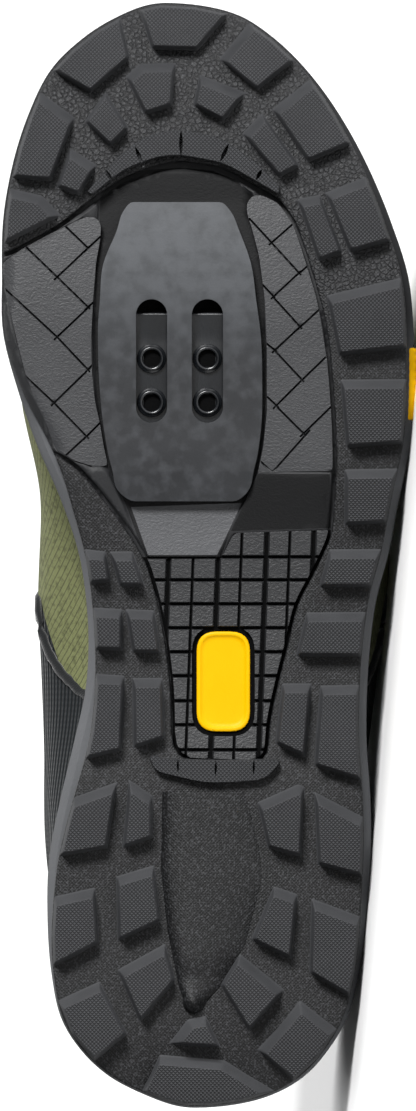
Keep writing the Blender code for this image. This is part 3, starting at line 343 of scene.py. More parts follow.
EDGE_BLOCKS_HEEL = (
    (0.381, 0.296, (0.310, 0.334), (0.381, 0.353)),
    (0.261, 0.209, (0.221, 0.344), (0.285, 0.334)),
    (0.171, 0.100, (0.123, 0.319), (0.189, 0.325)),
    (0.069, 0.023, (0.053, 0.158), (0.097, 0.288)),
    (0.013, -0.013, (0.048, -0.145), (0.043, 0.053)),
    (-0.041, -0.095, (0.114, -0.334), (0.068, -0.248)),
    (-0.127, -0.189, (0.199, -0.347), (0.150, -0.337)),
    (-0.227, -0.279, (0.294, -0.279), (0.236, -0.310)),
    (-0.315, -0.391, (0.390, -0.257), (0.324, -0.266)),
)
INNER_BLOCKS_BALL = (
    ((0.932, -0.198), (0.943, -0.164), (0.944, -0.078), (0.906, -0.086), (0.898, -0.152)),
    ((0.933, -0.017), (0.917, 0.093), (0.892, 0.039), (0.906, -0.032)),
    ((0.917, -0.249), (0.885, -0.193), (0.869, -0.237), (0.891, -0.298)),
    ((0.866, -0.335), (0.851, -0.271), (0.825, -0.313), (0.832, -0.367)),
    ((0.898, 0.135), (0.851, 0.225), (0.841, 0.176), (0.880, 0.088)),
    ((0.820, 0.222), (0.824, 0.276), (0.773, 0.330), (0.765, 0.273)),
    ((0.502, -0.237), (0.502, -0.183), (0.472, -0.154), (0.472, -0.213)),
    ((0.450, -0.198), (0.449, -0.130), (0.412, -0.115), (0.412, -0.181)),
)
INNER_BLOCKS_HEEL = (
    ((0.383, 0.235), (0.383, 0.322), (0.318, 0.303), (0.330, 0.214)),
    ((0.276, 0.158), (0.292, 0.282), (0.290, 0.300), (0.228, 0.291), (0.236, 0.190)),
    ((0.200, 0.208), (0.193, 0.279), (0.136, 0.260), (0.153, 0.139)),
    ((0.139, 0.102), (0.107, 0.238), (0.071, 0.130), (0.112, 0.043)),
    ((0.080, -0.058), (0.083, -0.005), (0.056, 0.040), (0.059, -0.115)),
    ((0.388, -0.229), (0.388, -0.139), (0.335, -0.133), (0.326, -0.226)),
    ((0.296, -0.241), (0.282, -0.170), (0.245, -0.170), (0.236, -0.260)),
    ((0.209, -0.279), (0.219, -0.165), (0.170, -0.145), (0.152, -0.275)),
    ((0.125, -0.275), (0.148, -0.131), (0.116, -0.100), (0.079, -0.207)),
)

# Low bars of the tread: the bumper in front of the cleat pocket, the crescent behind it and the
# keel down the middle of the heel
BUMPER = (
    (0.827, -0.296), (0.856, -0.230), (0.879, -0.152), (0.885, -0.066), (0.877, 0.032),
    (0.856, 0.117), (0.832, 0.180), (0.824, 0.177), (0.838, 0.112), (0.853, 0.040),
    (0.860, -0.064), (0.859, -0.115), (0.848, -0.201), (0.824, -0.281),
)
CRESCENT = (
    (0.320, -0.186), (0.316, -0.108), (0.315, 0.028), (0.316, 0.241),
    (0.296, 0.180), (0.293, -0.003), (0.304, -0.161),
)
KEEL = (
    (0.286, -0.140), (0.216, -0.145), (0.162, -0.125), (0.112, -0.090), (0.089, -0.062),
    (0.086, -0.037), (0.096, 0.000), (0.112, 0.050), (0.148, 0.125), (0.207, 0.180),
    (0.234, 0.172), (0.270, 0.140), (0.286, 0.120),
)

# Pocket in the rubber around the cleat: share of the length, share of the ball's width. It is open
# to the inner side of the ball, where its corners lie beyond the sole.
POCKET_INNER = (
    (0.312, -0.086), (0.378, -0.088), (0.423, -0.103), (0.459, -0.122), (0.491, -0.147),
    (0.513, -0.181), (0.536, -0.225), (0.559, -0.274), (0.579, -0.323), (0.591, -0.374),
    (0.592, -0.600), (0.769, -0.600), (0.770, -0.499), (0.798, -0.360), (0.821, -0.284),
    (0.842, -0.201), (0.853, -0.115), (0.856, -0.064),
)
POCKET_OUTER = (
    (0.850, 0.040), (0.835, 0.112), (0.821, 0.178), (0.801, 0.216), (0.784, 0.233),
    (0.764, 0.250), (0.744, 0.267), (0.721, 0.284), (0.699, 0.296), (0.653, 0.308),
    (0.604, 0.316), (0.577, 0.316), (0.527, 0.308), (0.514, 0.301), (0.486, 0.267),
    (0.455, 0.220), (0.423, 0.201), (0.387, 0.176), (0.351, 0.154), (0.312, 0.147),
)

# Cleat pad: share of the length, inner edge and outer edge as shares of the ball's width
PAD = (
    (0.548, -0.186, 0.073),
    (0.552, -0.203, 0.088),
    (0.577, -0.232, 0.115),
    (0.613, -0.252, 0.132),
    (0.658, -0.264, 0.135),
    (0.700, -0.267, 0.131),
    (0.730, -0.262, 0.120),
    (0.762, -0.254, 0.108),
    (0.793, -0.220, 0.078),
    (0.810, -0.205, 0.058),
    (0.818, -0.188, 0.039),
)

# Rows of the wall below and above its widest line
WALL_ROWS = (-1.0, -0.5, 0.0)
DOME_ROWS = (0.17, 0.34, 0.50, 0.65, 0.78, 0.89, 1.0)

# Number of points along one side of the outline
DENSE = 900


# Curves through the tables, and the levels and outlines of the sole

class Curve:
    """A smooth curve through the rows of a table, by its first column. With round ends the shares
    are spaced as angles, so that the values close like an ellipse at both tips. Without them the
    curve is level wherever its rows stop rising or falling."""

    def __init__(self, rows, column=1, unit=1.0, round_ends=False):
        self.round_ends = round_ends
        self.at = self.spaced(np.array([row[0] for row in rows], float))
        self.values = np.array([row[column] for row in rows], float) * unit
        steps = np.diff(self.at)
        rises = np.diff(self.values) / steps
        inner = (rises[:-1] * steps[1:] + rises[1:] * steps[:-1]) / (steps[1:] + steps[:-1])
        if not round_ends:
            inner = np.where(rises[:-1] * rises[1:] > 0, inner, 0.0)
        self.slopes = np.concatenate([rises[:1], inner, rises[-1:]])

    def spaced(self, shares):
        if not self.round_ends:
            return shares
        return np.arccos(np.clip(1 - 2 * shares, -1, 1))

    def __call__(self, share):
        at = np.clip(self.spaced(np.asarray(share, float)), self.at[0], self.at[-1])
        index = np.clip(np.searchsorted(self.at, at) - 1, 0, len(self.at) - 2)
        step = self.at[index + 1] - self.at[index]
        t = (at - self.at[index]) / step
        low, high = self.values[index], self.values[index + 1]
        rise = high - low
        start = self.slopes[index] * step
        end = self.slopes[index + 1] * step
        return low + t * (start + t * (3 * rise - 2 * start - end + t * (start + end - 2 * rise)))


def widths(heel_rows, ball_rows):
    """Curves of the inner and the outer half-width, from rows of two different units."""
    sides = []
    for column in (1, 2):
        heel = [(row[0], row[column] * HEEL_WIDTH) for row in heel_rows]
        ball = [(row[0], row[column] * BALL_WIDTH) for row in ball_rows]
        sides.append(Curve(heel + ball, round_ends=True))
    return {-1: sides[0], 1: sides[1]}


OUTLINE = widths(OUTLINE_HEEL, OUTLINE_BALL)
LAST = widths(LAST_HEEL, LAST_BALL)
RUBBER_LINE = {-1: Curve(RUBBER_EDGE, 1, RIM), 1: Curve(RUBBER_EDGE, 2, RIM)}
RISE_CURVES = (
    Curve(TREAD_RISE, 1, TOE_SPRING),
    Curve(TREAD_RISE, 2, HEEL_SPRING),
    Curve(TREAD_RISE, 3, ARCH_RISE),
)
STACK_CURVES = (Curve(STACK, 1, HEEL_STACK), Curve(STACK, 2, BALL_STACK))
RIDGE_HEIGHT = Curve(RIDGE, 1, INSTEP_HEIGHT, round_ends=True)
RIDGE_ACROSS = Curve(RIDGE, 2, BALL_WIDTH)
BULGE_CURVE = Curve(BULGE, 1, BULGE_HEIGHT)
COLLAR_CURVE = Curve(COLLAR, 1, COLLAR_HEIGHT)
THROAT_CURVE = Curve(THROAT, 1, THROAT_WIDTH)
LEAN_CURVE = Curve(LEAN, 1, HEEL_LEAN)
PADDING_CURVE = Curve(PADDING, 1, COLLAR_PADDING)


def tread_z(x):
    """Height of the blocks' running faces above the floor."""
    share = np.clip(np.asarray(x) / LENGTH, 0, 1)
    return sum(curve(share) for curve in RISE_CURVES)


def base_z(x):
    """Height of the rubber's face between the blocks."""
    return tread_z(x) + LUG_HEIGHT


def shell_z(x):
    """Height of the rubber's upper face, on which the midsole lies."""
    return base_z(x) + BASE_THICKNESS


def bed_z(x):
    """Height of the midsole's bed, on which the upper lies."""
    share = np.clip(np.asarray(x) / LENGTH, 0, 1)
    return tread_z(x) + sum(curve(share) for curve in STACK_CURVES)


class Inset:
    """The sole's outline moved inwards by a distance for each side, a number or a curve."""

    def __init__(self, inner, outer=None):
        outer = inner if outer is None else outer
        angles = np.linspace(0, math.pi, DENSE)
        share = (1 - np.cos(angles)) / 2
        there = np.stack([share * LENGTH, -OUTLINE[-1](share)], 1)
        back = np.stack([share * LENGTH, OUTLINE[1](share)], 1)[::-1][1:-1]
        points = np.concatenate([there, back])
        both = np.concatenate([self.amount(inner, share), self.amount(outer, share)[::-1][1:-1]])
        along = np.roll(points, -1, 0) - np.roll(points, 1, 0)
        along /= np.linalg.norm(along, axis=1)[:, None]
        points = points + np.stack([-along[:, 1], along[:, 0]], 1) * both[:, None]
        heel = int(np.argmin(points[:, 0]))
        points = np.roll(points, -heel, 0)
        toe = int(np.argmax(points[:, 0]))
        inner_side = points[: toe + 1]
        outer_side = np.concatenate([points[toe:], points[:1]])[::-1]
        self.start = points[0, 0]
        self.end = points[toe, 0]
        self.sides = {-1: inner_side, 1: outer_side}

    @staticmethod
    def amount(distance, share):
        if callable(distance):
            return distance(share)
        return np.full(len(share), float(distance))

    def stations(self, count):
        """Positions along the shoe, close together at both tips."""
        return self.start + (self.end - self.start) * (1 - np.cos(np.linspace(0, math.pi, count))) / 2

    def across(self, x, side):
        line = self.sides[side]
        return np.interp(x, np.maximum.accumulate(line[:, 0]), line[:, 1])

    def ring(self, z, count):
        """Points round the outline, from the heel along the inner side and back along the outer."""
        x = self.stations(count)
        height = z(x)
        inner = np.stack([x, self.across(x, -1), height], 1)
        outer = np.stack([x, self.across(x, 1), height], 1)
        return np.concatenate([inner, outer[-2:0:-1]])


def area_twice(points):
    """Twice the area of a polygon, below zero if its corners run clockwise."""
    x, y = points[:, 0], points[:, 1]
    return np.sum(x * np.roll(y, -1) - np.roll(x, -1) * y)


def counter_clockwise(points):
    points = np.array(points, float)
    return points if area_twice(points) > 0 else points[::-1]


def scaled(corners, width):
    """Corners given as shares of the length and of a width, in metres."""
    return [(share * LENGTH, across * width) for share, across in corners]


def edge_path(rubber, start, stop, count):
    """Points along the rubber's edge between two signed shares, the short way round either tip."""

    def angle(share):
        turn = math.acos(1 - 2 * abs(share))
        return turn if share < 0 else 2 * math.pi - turn

    a, b = angle(start), angle(stop)
    if b - a > math.pi:
        b -= 2 * math.pi
    if a - b > math.pi:
        b += 2 * math.pi
    points = []
    for turn in np.linspace(a, b, count):
        side = -1 if 0 < turn % (2 * math.pi) < math.pi else 1
        x = rubber.start + (rubber.end - rubber.start) * (1 - math.cos(turn)) / 2
        points.append((x, float(rubber.across(x, side))))
    return points


def plate_z(x):
    """Height of the plate's lower face, a little deeper than the rubber's."""
    return shell_z(x) - PLATE_THICKNESS


def stadium(x, y, length, width, sides):
    """Outline of a slot with round ends, along the shoe."""
    radius = width / 2
    reach = length / 2 - radius
    points = []
    for turn in np.linspace(-math.pi / 2, math.pi / 2, sides):
        points.append((x + reach + radius * math.cos(turn), y + radius * math.sin(turn)))
    for turn in np.linspace(math.pi / 2, 3 * math.pi / 2, sides):
        points.append((x - reach + radius * math.cos(turn), y + radius * math.sin(turn)))
    return points


# Profile of the midsole's side: share of its height, inset as a share of the rim
MIDSOLE_SIDE = (
    (0.00, 0.55),
    (0.14, 0.00),
    (0.42, 0.12),
    (0.48, 0.34),
    (0.58, 0.36),
    (0.64, 0.18),
    (0.92, 0.26),
    (1.00, 0.38),
)


# Feather edge of the upper, just inside the midsole's rim
FEATHER = Inset(RIM_WALL + CLEAR)
LASTING_EDGE = Inset(RIM_WALL + CLEAR + FLANGE)
RIM_CLEARANCE = RIM_HEIGHT + 0.001


# Wall of the upper

def section(x, side):
    """Key points of the upper's section on one side: foot, widest point and ridge."""
    share = x / LENGTH
    last_share = (x - FEATHER.start) / (FEATHER.end - FEATHER.start)
    foot = (float(FEATHER.across(x, side)), float(bed_z(x)) + CLEAR)
    wide = (side * float(LAST[side](last_share)), float(bed_z(x) + BULGE_CURVE(share)))
    ridge = (float(RIDGE_ACROSS(share)), float(bed_z(x) + RIDGE_HEIGHT(last_share)))
    return foot, wide, ridge


def lean(x, height):
    """Shift of the heel along the shoe at a height above the bed."""
    near_heel = max(0.0, 1 - x / (0.28 * LENGTH)) ** 2
    return float(LEAN_CURVE(height / COLLAR_HEIGHT)) * near_heel


def wall_point(x, side, rise):
    """A point of the upper's outer face. The rise is -1 at the rim's top, 0 at the widest line and
    1 on the ridge."""
    foot, wide, ridge = section(x, side)
    if rise <= 0:
        part = rise + 1
        low = foot[1] + RIM_CLEARANCE
        y = foot[0] + (wide[0] - foot[0]) * (1 - math.cos(math.pi * part)) / 2
        z = low + (wide[1] - low) * part
    else:
        turn = min(rise, 1) * math.pi / 2
        y = ridge[0] + (wide[0] - ridge[0]) * max(0.0, math.cos(turn)) ** DOME_POWER
        z = wide[1] + (ridge[1] - wide[1]) * math.sin(turn)
    return Vector((x + lean(x, z - float(bed_z(x))), y, z))


def rise_at_height(x, side, height):
    """The rise at which the wall reaches a height above the bed."""
    _, wide, ridge = section(x, side)
    part = (float(bed_z(x)) + height - wide[1]) / (ridge[1] - wide[1])
    return 1.0 if part >= 1 else math.asin(max(0.0, part)) * 2 / math.pi


def rise_at_gap(x, side, gap):
    """The rise at which the wall comes within a distance of the ridge, measured across."""
    _, wide, ridge = section(x, side)
    part = gap / abs(wide[0] - ridge[0])
    return 0.0 if part >= 1 else math.acos(part ** (1 / DOME_POWER)) * 2 / math.pi


def top_rise(x, side):
    """The rise of the upper's top edge: the collar at the back, the throat in front of it."""
    if x >= THROAT_FRONT * LENGTH - 1e-9:
        return 1.0
    share = x / LENGTH
    collar = rise_at_height(x, side, float(COLLAR_CURVE(share)))
    throat = rise_at_gap(x, side, float(THROAT_CURVE(share)))
    return min(collar, throat) if share > 0.42 else collar


def rises(x, side):
    """The rises of the wall's rows at a section, from the rim's top to the top edge."""
    top = top_rise(x, side)
    return list(WALL_ROWS) + [top * part for part in DOME_ROWS]


def wall_normal(x, side, rise):
    """Direction away from the foot at a point of the wall."""
    step = 0.02 if rise < 0.9 else -0.02
    here = wall_point(x, side, rise)
    up = (wall_point(x, side, rise + step) - here) * math.copysign(1, step)
    ahead = wall_point(x + 0.002, side, rise) - wall_point(x - 0.002, side, rise)
    normal = up.cross(ahead).normalized() * -side
    return normal if normal.z > 0 else -normal


def over_wall(x, across, lift):
    """A point above the wall, at a distance across from the ridge."""
    side = -1 if across < 0 else 1
    rise = rise_at_gap(x, side, abs(across))
    return wall_point(x, side, rise) + wall_normal(x, side, rise) * lift


def eyelet_places():
    """Each lace row's position along the shoe and distance across from the ridge."""
    shares = np.linspace(LACE_FRONT, LACE_BACK, LACE_ROWS)
    return [(share * LENGTH, float(THROAT_CURVE(share)) + EYELET_SETBACK) for share in shares]


STAY_TOP = CLEAR + OVERLAY_LIFT
EYELET_TOP = STAY_TOP + CLEAR + EYELET_THICKNESS
LACE_LIFT = EYELET_TOP + CLEAR + LACE_RADIUS


# One pixel of the photograph on the sole, and the place of the heel and of the middle line in it
PIXEL = 0.0002507
HEEL_ROW = 1109.0
MIDDLE_COLUMN = 207.0
PICTURE_WIDTH = 416
PICTURE_HEIGHT = 1111

# Camera, far enough away for the sole to keep its proportions
CAMERA_DISTANCE = 4.2
SENSOR = 36.0


def on_sole(column, row):
    """Place on the sole, along and across, of a point of the photograph."""
    return ((HEEL_ROW - row) * PIXEL, (column - MIDDLE_COLUMN) * PIXEL)


def plan(*points):
    """A polygon on the sole through points of the photograph."""
    return counter_clockwise([on_sole(column, row) for column, row in points])


def lying_turn():
    """The turn and shift from the shoe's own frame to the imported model's, read from the nut plate."""
    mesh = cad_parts["cleat_nut_plate"].data
    spread = np.zeros((3, 3))
    for face in mesh.polygons:
        normal = np.array(face.normal)
        spread += face.area * np.outer(normal, normal)
    x, _, z = np.linalg.eigh(spread)[1].T
    x = Vector(x * math.copysign(1, x[0]))
    z = Vector(z * math.copysign(1, z[1]))
    y = z.cross(x)
    turn = Matrix((x, y, z)).transposed()
    points = [turn.transposed() @ vert.co for vert in mesh.vertices]
    low = [min(point[k] for point in points) for k in range(3)]
    high = [max(point[k] for point in points) for k in range(3)]
    span = NUT_SHARE * LENGTH + np.linspace(-NUT_LENGTH / 2, NUT_LENGTH / 2, 9)
    there = Vector((NUT_SHARE * LENGTH, CLEAT_ACROSS, float(shell_z(span).min())))
    here = Vector(((low[0] + high[0]) / 2, (low[1] + high[1]) / 2, high[2]))
    return Matrix.Translation(turn @ (here - there)) @ turn.to_4x4()


LYING = lying_turn()


# Camera

def make_camera():
    """Square to the sole, toe up, with the outer side of the foot on the floor at the right."""
    data = bpy.data.cameras.new("camera")
    data.sensor_width = SENSOR
    data.lens = SENSOR * CAMERA_DISTANCE / (PICTURE_HEIGHT * PIXEL)
    data.clip_end = 60.0
    camera = bpy.data.objects.new("camera", data)
    bpy.context.scene.collection.objects.link(camera)
    along, across = on_sole(PICTURE_WIDTH / 2, PICTURE_HEIGHT / 2)
    target = Vector((along, across, LUG_HEIGHT))
    up, right = Vector((1, 0, 0)), Vector((0, 1, 0))
    back = right.cross(up)
    stand = Matrix((right, up, back)).transposed().to_4x4()
    stand.translation = target + back * CAMERA_DISTANCE
    camera.matrix_world = LYING @ stand
    bpy.context.scene.camera = camera


make_camera()


# Materials: colours, pitches of the fine patterns in metres and cells per metre

RUBBER = (0.0185, 0.0190, 0.0205)
GREEN = (0.150, 0.162, 0.070)
DARK_TEXTILE = (0.0060, 0.0078, 0.0092)
KNURL_PITCH = 0.00070
DIAMOND_PITCH = 0.00062
PEBBLES = 780.0
WEAVE_PITCH = 0.00052
RIB_PITCH = 0.00125
RIB_BREAK = 0.0014
RIPSTOP_PITCH = 0.00185
SLANT = 0.80


class Surface:
    """A material of nodes round one Principled shader."""

    def __init__(self, name, colour, roughness, **sockets):
        self.material = bpy.data.materials.new(name)
        self.material.use_nodes = True
        self.tree = self.material.node_tree
        self.shader = self.tree.nodes["Principled BSDF"]
        self.shader.inputs["Base Color"].default_value = (*colour, 1.0)
        self.shader.inputs["Roughness"].default_value = roughness
        for key, value in sockets.items():
            self.shader.inputs[key.replace("_", " ")].default_value = value
        # Patterns lie in the shoe's own upright frame
        upright = LYING.inverted()
        turned = self.node("Mapping", Vector=self.node("TexCoord").outputs["Object"])
        turned.inputs["Location"].default_value = upright.translation
        turned.inputs["Rotation"].default_value = upright.to_euler()
        self.place = turned.outputs[0]

    def node(self, kind, settings=None, **inputs):
        made = self.tree.nodes.new("ShaderNode" + kind)
        for key, value in (settings or {}).items():
            setattr(made, key, value)
        for key, value in inputs.items():
            self.feed(made.inputs[key.replace("_", " ")], value)
        return made

    def feed(self, socket, value):
        if isinstance(value, bpy.types.Node):
            value = value.outputs[0]
        if isinstance(value, bpy.types.NodeSocket):
            self.tree.links.new(value, socket)
        else:
            socket.default_value = value

    def math(self, operation, *values):
        made = self.node("Math", {"operation": operation})
        for socket, value in zip(made.inputs, values):
            self.feed(socket, value)
        return made.outputs[0]

    def total(self, *values):
        made = values[0]
        for value in values[1:]:
            made = self.math("ADD", made, value)
        return made

    def scaled_place(self, x, y, z):
        """Coordinates in the shoe's own frame, in metres, each times a factor."""
        made = self.node("VectorMath", {"operation": "MULTIPLY"})
        self.feed(made.inputs[0], self.place)
        made.inputs[1].default_value = (x, y, z)
        return made.outputs[0]

    def noise(self, scale, detail=2.0, stretch=(1, 1, 1)):
        spot = self.scaled_place(*(scale * part for part in stretch))
        return self.node("TexNoise", Vector=spot, Scale=1.0, Detail=detail).outputs["Fac"]

    def cells(self, scale, feature="DISTANCE_TO_EDGE"):
        spot = self.scaled_place(scale, scale, scale)
        made = self.node("TexVoronoi", {"feature": feature}, Vector=spot, Scale=1.0)
        return made.outputs["Distance"]

    def waves(self, value, pitch):
        """0 to 1 and back over each pitch of a length."""
        return self.math("PINGPONG", self.math("DIVIDE", value, pitch / 2), 1.0)

    def across(self):
        made = self.node("SeparateXYZ")
        self.feed(made.inputs[0], self.place)
        return made.outputs

    def ramp(self, value, low, high, start=0.0, stop=1.0):
        made = self.node("MapRange", {"clamp": True})
        self.feed(made.inputs["Value"], value)
        made.inputs["From Min"].default_value = start
        made.inputs["From Max"].default_value = stop
        self.feed(made.inputs["To Min"], low)
        self.feed(made.inputs["To Max"], high)
        return made.outputs[0]

    def mix(self, part, first, second):
        made = self.node("Mix", {"data_type": "RGBA"})
        self.feed(made.inputs[0], part)
        for index, value in ((6, first), (7, second)):
            if isinstance(value, tuple):
                value = (*value, 1.0)
            self.feed(made.inputs[index], value)
        return made.outputs[2]

    def colour_between(self, part, first, second):
        mixed = self.mix(part, first, second)
        self.feed(self.shader.inputs["Base Color"], mixed)
        return mixed

    def roughness_between(self, part, low, high):
        self.feed(self.shader.inputs["Roughness"], self.ramp(part, low, high))

    def bump(self, height, depth, before=None, strength=1.0):
        """Raises the surface by a depth in metres where the height is 1."""
        made = self.node("Bump", Height=height, Distance=depth, Strength=strength)
        if before is not None:
            self.feed(made.inputs["Normal"], before)
        self.feed(self.shader.inputs["Normal"], made.outputs[0])
        return made.outputs[0]


def shade(colour, factor):
    """The colour, lighter or darker."""
    return tuple(min(1.0, part * factor) for part in colour)


def knurl(surface, pitch):
    """Small pyramids in slanted rows."""
    x, y, _ = surface.across()
    first = surface.waves(surface.math("ADD", x, y), pitch * 1.414)
    second = surface.waves(surface.math("SUBTRACT", x, y), pitch * 1.414)
    return surface.math("MINIMUM", first, second)


def make_lug_rubber():
    """Running faces: slanted rows of small points, lighter where the floor has rubbed them."""
    made = Surface("lug rubber", shade(RUBBER, 1.15), 0.7, Specular_IOR_Level=0.25)
    wear = made.noise(90, 4)
    points = knurl(made, KNURL_PITCH)
    pale_tone = made.mix(wear, shade(RUBBER, 1.3), shade(RUBBER, 2.1))
    made.colour_between(made.ramp(points, 0.0, 1.0, 0.05, 0.5), shade(RUBBER, 0.4), pale_tone)
    made.roughness_between(wear, 0.62, 0.78)
    rows = made.bump(points, 0.00030)
    made.bump(made.noise(2600, 2), 0.00003, rows)
    return made.material


def make_side_rubber():
    """Smooth sides of the blocks."""
    made = Surface("smooth rubber", shade(RUBBER, 0.95), 0.66, Specular_IOR_Level=0.2)
    cloud = made.noise(140, 4)
    made.colour_between(cloud, shade(RUBBER, 0.9), shade(RUBBER, 1.55))
    made.roughness_between(cloud, 0.60, 0.74)
    made.bump(made.noise(1500, 3), 0.00002)
    return made.material


def make_base_rubber():
    """A grain of fine diamonds with painted glints, light specks that stand for its sparkle, and a net of
    raised cells in the front half.
    """
    made = Surface("base rubber", shade(RUBBER, 0.5), 0.6, Specular_IOR_Level=0.24)
    cloud = made.noise(70, 5)
    # Light specks: painted glints
    speck = made.ramp(made.noise(1700, 3), 0.0, 1.0, 0.50, 0.66)
    x = made.across()[0]
    front = made.ramp(x, 0.0, 1.0, 0.66 * LENGTH, 0.74 * LENGTH)
    dark = made.mix(cloud, shade(RUBBER, 0.10), shade(RUBBER, 0.24))
    plain = made.mix(front, dark, shade(RUBBER, 0.62))
    speckled = made.mix(speck, plain, made.mix(front, shade(RUBBER, 1.2), shade(RUBBER, 1.3)))
    made.roughness_between(made.noise(900, 2), 0.46, 0.72)
    pebbles = made.ramp(made.cells(PEBBLES), 0.0, 1.0, 0.02, 0.20)
    lines = made.math("MULTIPLY", made.math("SUBTRACT", 1.0, pebbles), front)
    made.colour_between(made.math("MULTIPLY", lines, 0.7), speckled, shade(RUBBER, 0.12))
    grain = made.bump(knurl(made, DIAMOND_PITCH), 0.00007)
    grain = made.bump(made.math("MULTIPLY", lines, -1.0), 0.00014, grain)
    made.bump(speck, 0.00003, grain)
    return made.material


def make_grained(name, factor, depth, roughness=0.5, gloss=0.3):
    """Moulded plastic with a leather-like grain of fine wrinkles."""
    made = Surface(name, shade(RUBBER, factor), roughness, Specular_IOR_Level=gloss)
    cloud = made.noise(60, 4)
    made.colour_between(cloud, shade(RUBBER, factor * 0.8), shade(RUBBER, factor * 1.3))
    made.roughness_between(cloud, roughness - 0.06, roughness + 0.10)
    warp = made.noise(1050, 3, (1.0, 0.7, 1.0))
    wrinkles = made.math("ABSOLUTE", made.math("SUBTRACT", warp, 0.5))
    grain = made.bump(made.ramp(wrinkles, 0.0, 1.0, 0.0, 0.14), depth)
    made.bump(made.noise(3000, 2), 0.00002, grain)
    return made.material


def make_pad_plastic():
    """Satin plastic with dust in its grain, paler towards the toe."""
    made = Surface("pad plastic", (0.016, 0.017, 0.019), 0.46, Specular_IOR_Level=0.3)
    dust = made.noise(230, 6)
    cloud = made.noise(75, 6)
    mixed = made.mix(made.ramp(cloud, 0.0, 1.0, 0.3, 0.7), (0.0070, 0.0076, 0.0088), (0.0115, 0.0124, 0.0142))
    speckle = made.ramp(dust, 0.0, 0.5, 0.46, 0.66)
    # The colour turns paler towards the toe
    paler_part = made.ramp(made.across()[0], 0.0, 1.0, 0.66 * LENGTH, 0.775 * LENGTH)
    pale_tone = made.mix(made.ramp(dust, 0.0, 1.0, 0.35, 0.65), (0.023, 0.025, 0.028), (0.043, 0.046, 0.051))
    mixed = made.mix(paler_part, mixed, pale_tone)
    mixed = made.mix(made.ramp(cloud, 0.0, 0.4, 0.55, 0.8), mixed, (0.011, 0.012, 0.0135))
    made.colour_between(speckle, mixed, (0.030, 0.032, 0.036))
    made.roughness_between(dust, 0.40, 0.56)
    made.bump(made.noise(1900, 3), 0.000018)
    return made.material


def make_steel():
    """Dark, oiled steel with turning marks."""
    made = Surface("dark steel", (0.004, 0.0045, 0.0055), 0.22, Specular_IOR_Level=0.42)
    swirl = made.noise(220, 3, (0.2, 1.0, 1.0))
    made.colour_between(swirl, (0.0022, 0.0026, 0.0031), (0.0060, 0.0070, 0.0085))
    made.roughness_between(swirl, 0.18, 0.32)
    made.bump(made.noise(900, 2), 0.00001)
    return made.material


def make_yellow():
    """Moulded yellow plastic with a faint cloud."""
    made = Surface("yellow plastic", (0.48, 0.26, 0.0), 0.5, Specular_IOR_Level=0.06)
    cloud = made.noise(120, 3)
    made.colour_between(cloud, (0.465, 0.250, 0.0), (0.495, 0.272, 0.0))
    made.roughness_between(cloud, 0.32, 0.46)
    made.bump(made.noise(1300, 2), 0.00002)
    return made.material


def make_foam(name, colour):
    """The midsole's skin: closed foam with a fine grain and light rubbing marks."""
    made = Surface(name, colour, 0.78, Specular_IOR_Level=0.16)
    cloud = made.noise(55, 5)
    streaks = made.noise(120, 3, (0.12, 1.0, 1.0))
    mixed = made.mix(cloud, shade(colour, 0.82), shade(colour, 1.15))
    paler_part = made.mix(made.ramp(streaks, 0.0, 0.35, 0.55, 0.75), mixed, shade(colour, 1.45))
    toe = made.ramp(made.across()[0], 0.0, 1.0, 0.60 * LENGTH, 0.72 * LENGTH)
    made.colour_between(toe, paler_part, made.mix(cloud, shade(RUBBER, 0.35), shade(RUBBER, 0.7)))
    made.roughness_between(streaks, 0.70, 0.86)
    grain = made.bump(made.cells(1500, "F1"), 0.00004)
    made.bump(made.noise(700, 3), 0.00005, grain)
    return made.material


def weave(surface, u, v, pitch):
    """Threads that cross over and under each other."""
    first = surface.waves(u, pitch)
    second = surface.waves(v, pitch)
    checks = surface.math("SUBTRACT", first, second)
    return surface.math("ABSOLUTE", checks)


def make_upper_textile():
    """Green ripstop in front of the seam and ribbed black textile behind it."""
    made = Surface("upper textile", GREEN, 0.85, Specular_IOR_Level=0.12, Sheen_Weight=0.06)
    made.shader.inputs["Sheen Roughness"].default_value = 0.5
    sheet = made.node("SeparateXYZ")
    made.feed(sheet.inputs[0], made.node("Attribute", {"attribute_name": "cloth"}).outputs["Vector"])
    u, v, seam = sheet.outputs
    slant = made.math("ADD", v, made.math("MULTIPLY", u, SLANT))
    lines = made.ramp(made.waves(slant, RIPSTOP_PITCH), 0.0, 1.0, 0.80, 0.97)
    ridges = made.math("SUBTRACT", 1.0, lines)
    threads = weave(made, u, v, WEAVE_PITCH)
    ribs = made.waves(v, RIB_PITCH)
    ribs = made.math("MULTIPLY", ribs, made.ramp(made.waves(u, RIB_BREAK), 0.6, 1.0))
    black = made.ramp(seam, 0.0, 1.0, -0.00005, 0.00005)
    fleck = made.noise(850, 4)
    cloud = made.noise(40, 4)
    green = made.mix(threads, shade(GREEN, 0.72), shade(GREEN, 1.12))
    green = made.mix(made.math("MULTIPLY", lines, 0.8), green, shade(GREEN, 0.28))
    green = made.mix(made.ramp(fleck, 0.0, 0.75, 0.48, 0.70), green, shade(GREEN, 0.35))
    dark = made.mix(ribs, shade(DARK_TEXTILE, 0.25), shade(DARK_TEXTILE, 1.45))
    dark = made.mix(made.ramp(cloud, 0.0, 0.4), dark, shade(DARK_TEXTILE, 1.2))
    made.colour_between(black, green, dark)
    made.roughness_between(cloud, 0.78, 0.95)
    front = made.total(made.math("MULTIPLY", threads, 0.35), made.math("MULTIPLY", ridges, 0.65))
    height = made.node("Mix", {"data_type": "FLOAT"})
    made.feed(height.inputs[0], black)
    made.feed(height.inputs[2], front)
    made.feed(height.inputs[3], ribs)
    cloth = made.bump(height.outputs[0], 0.00030)
    made.bump(cloud, 0.0004, cloth)
    return made.material


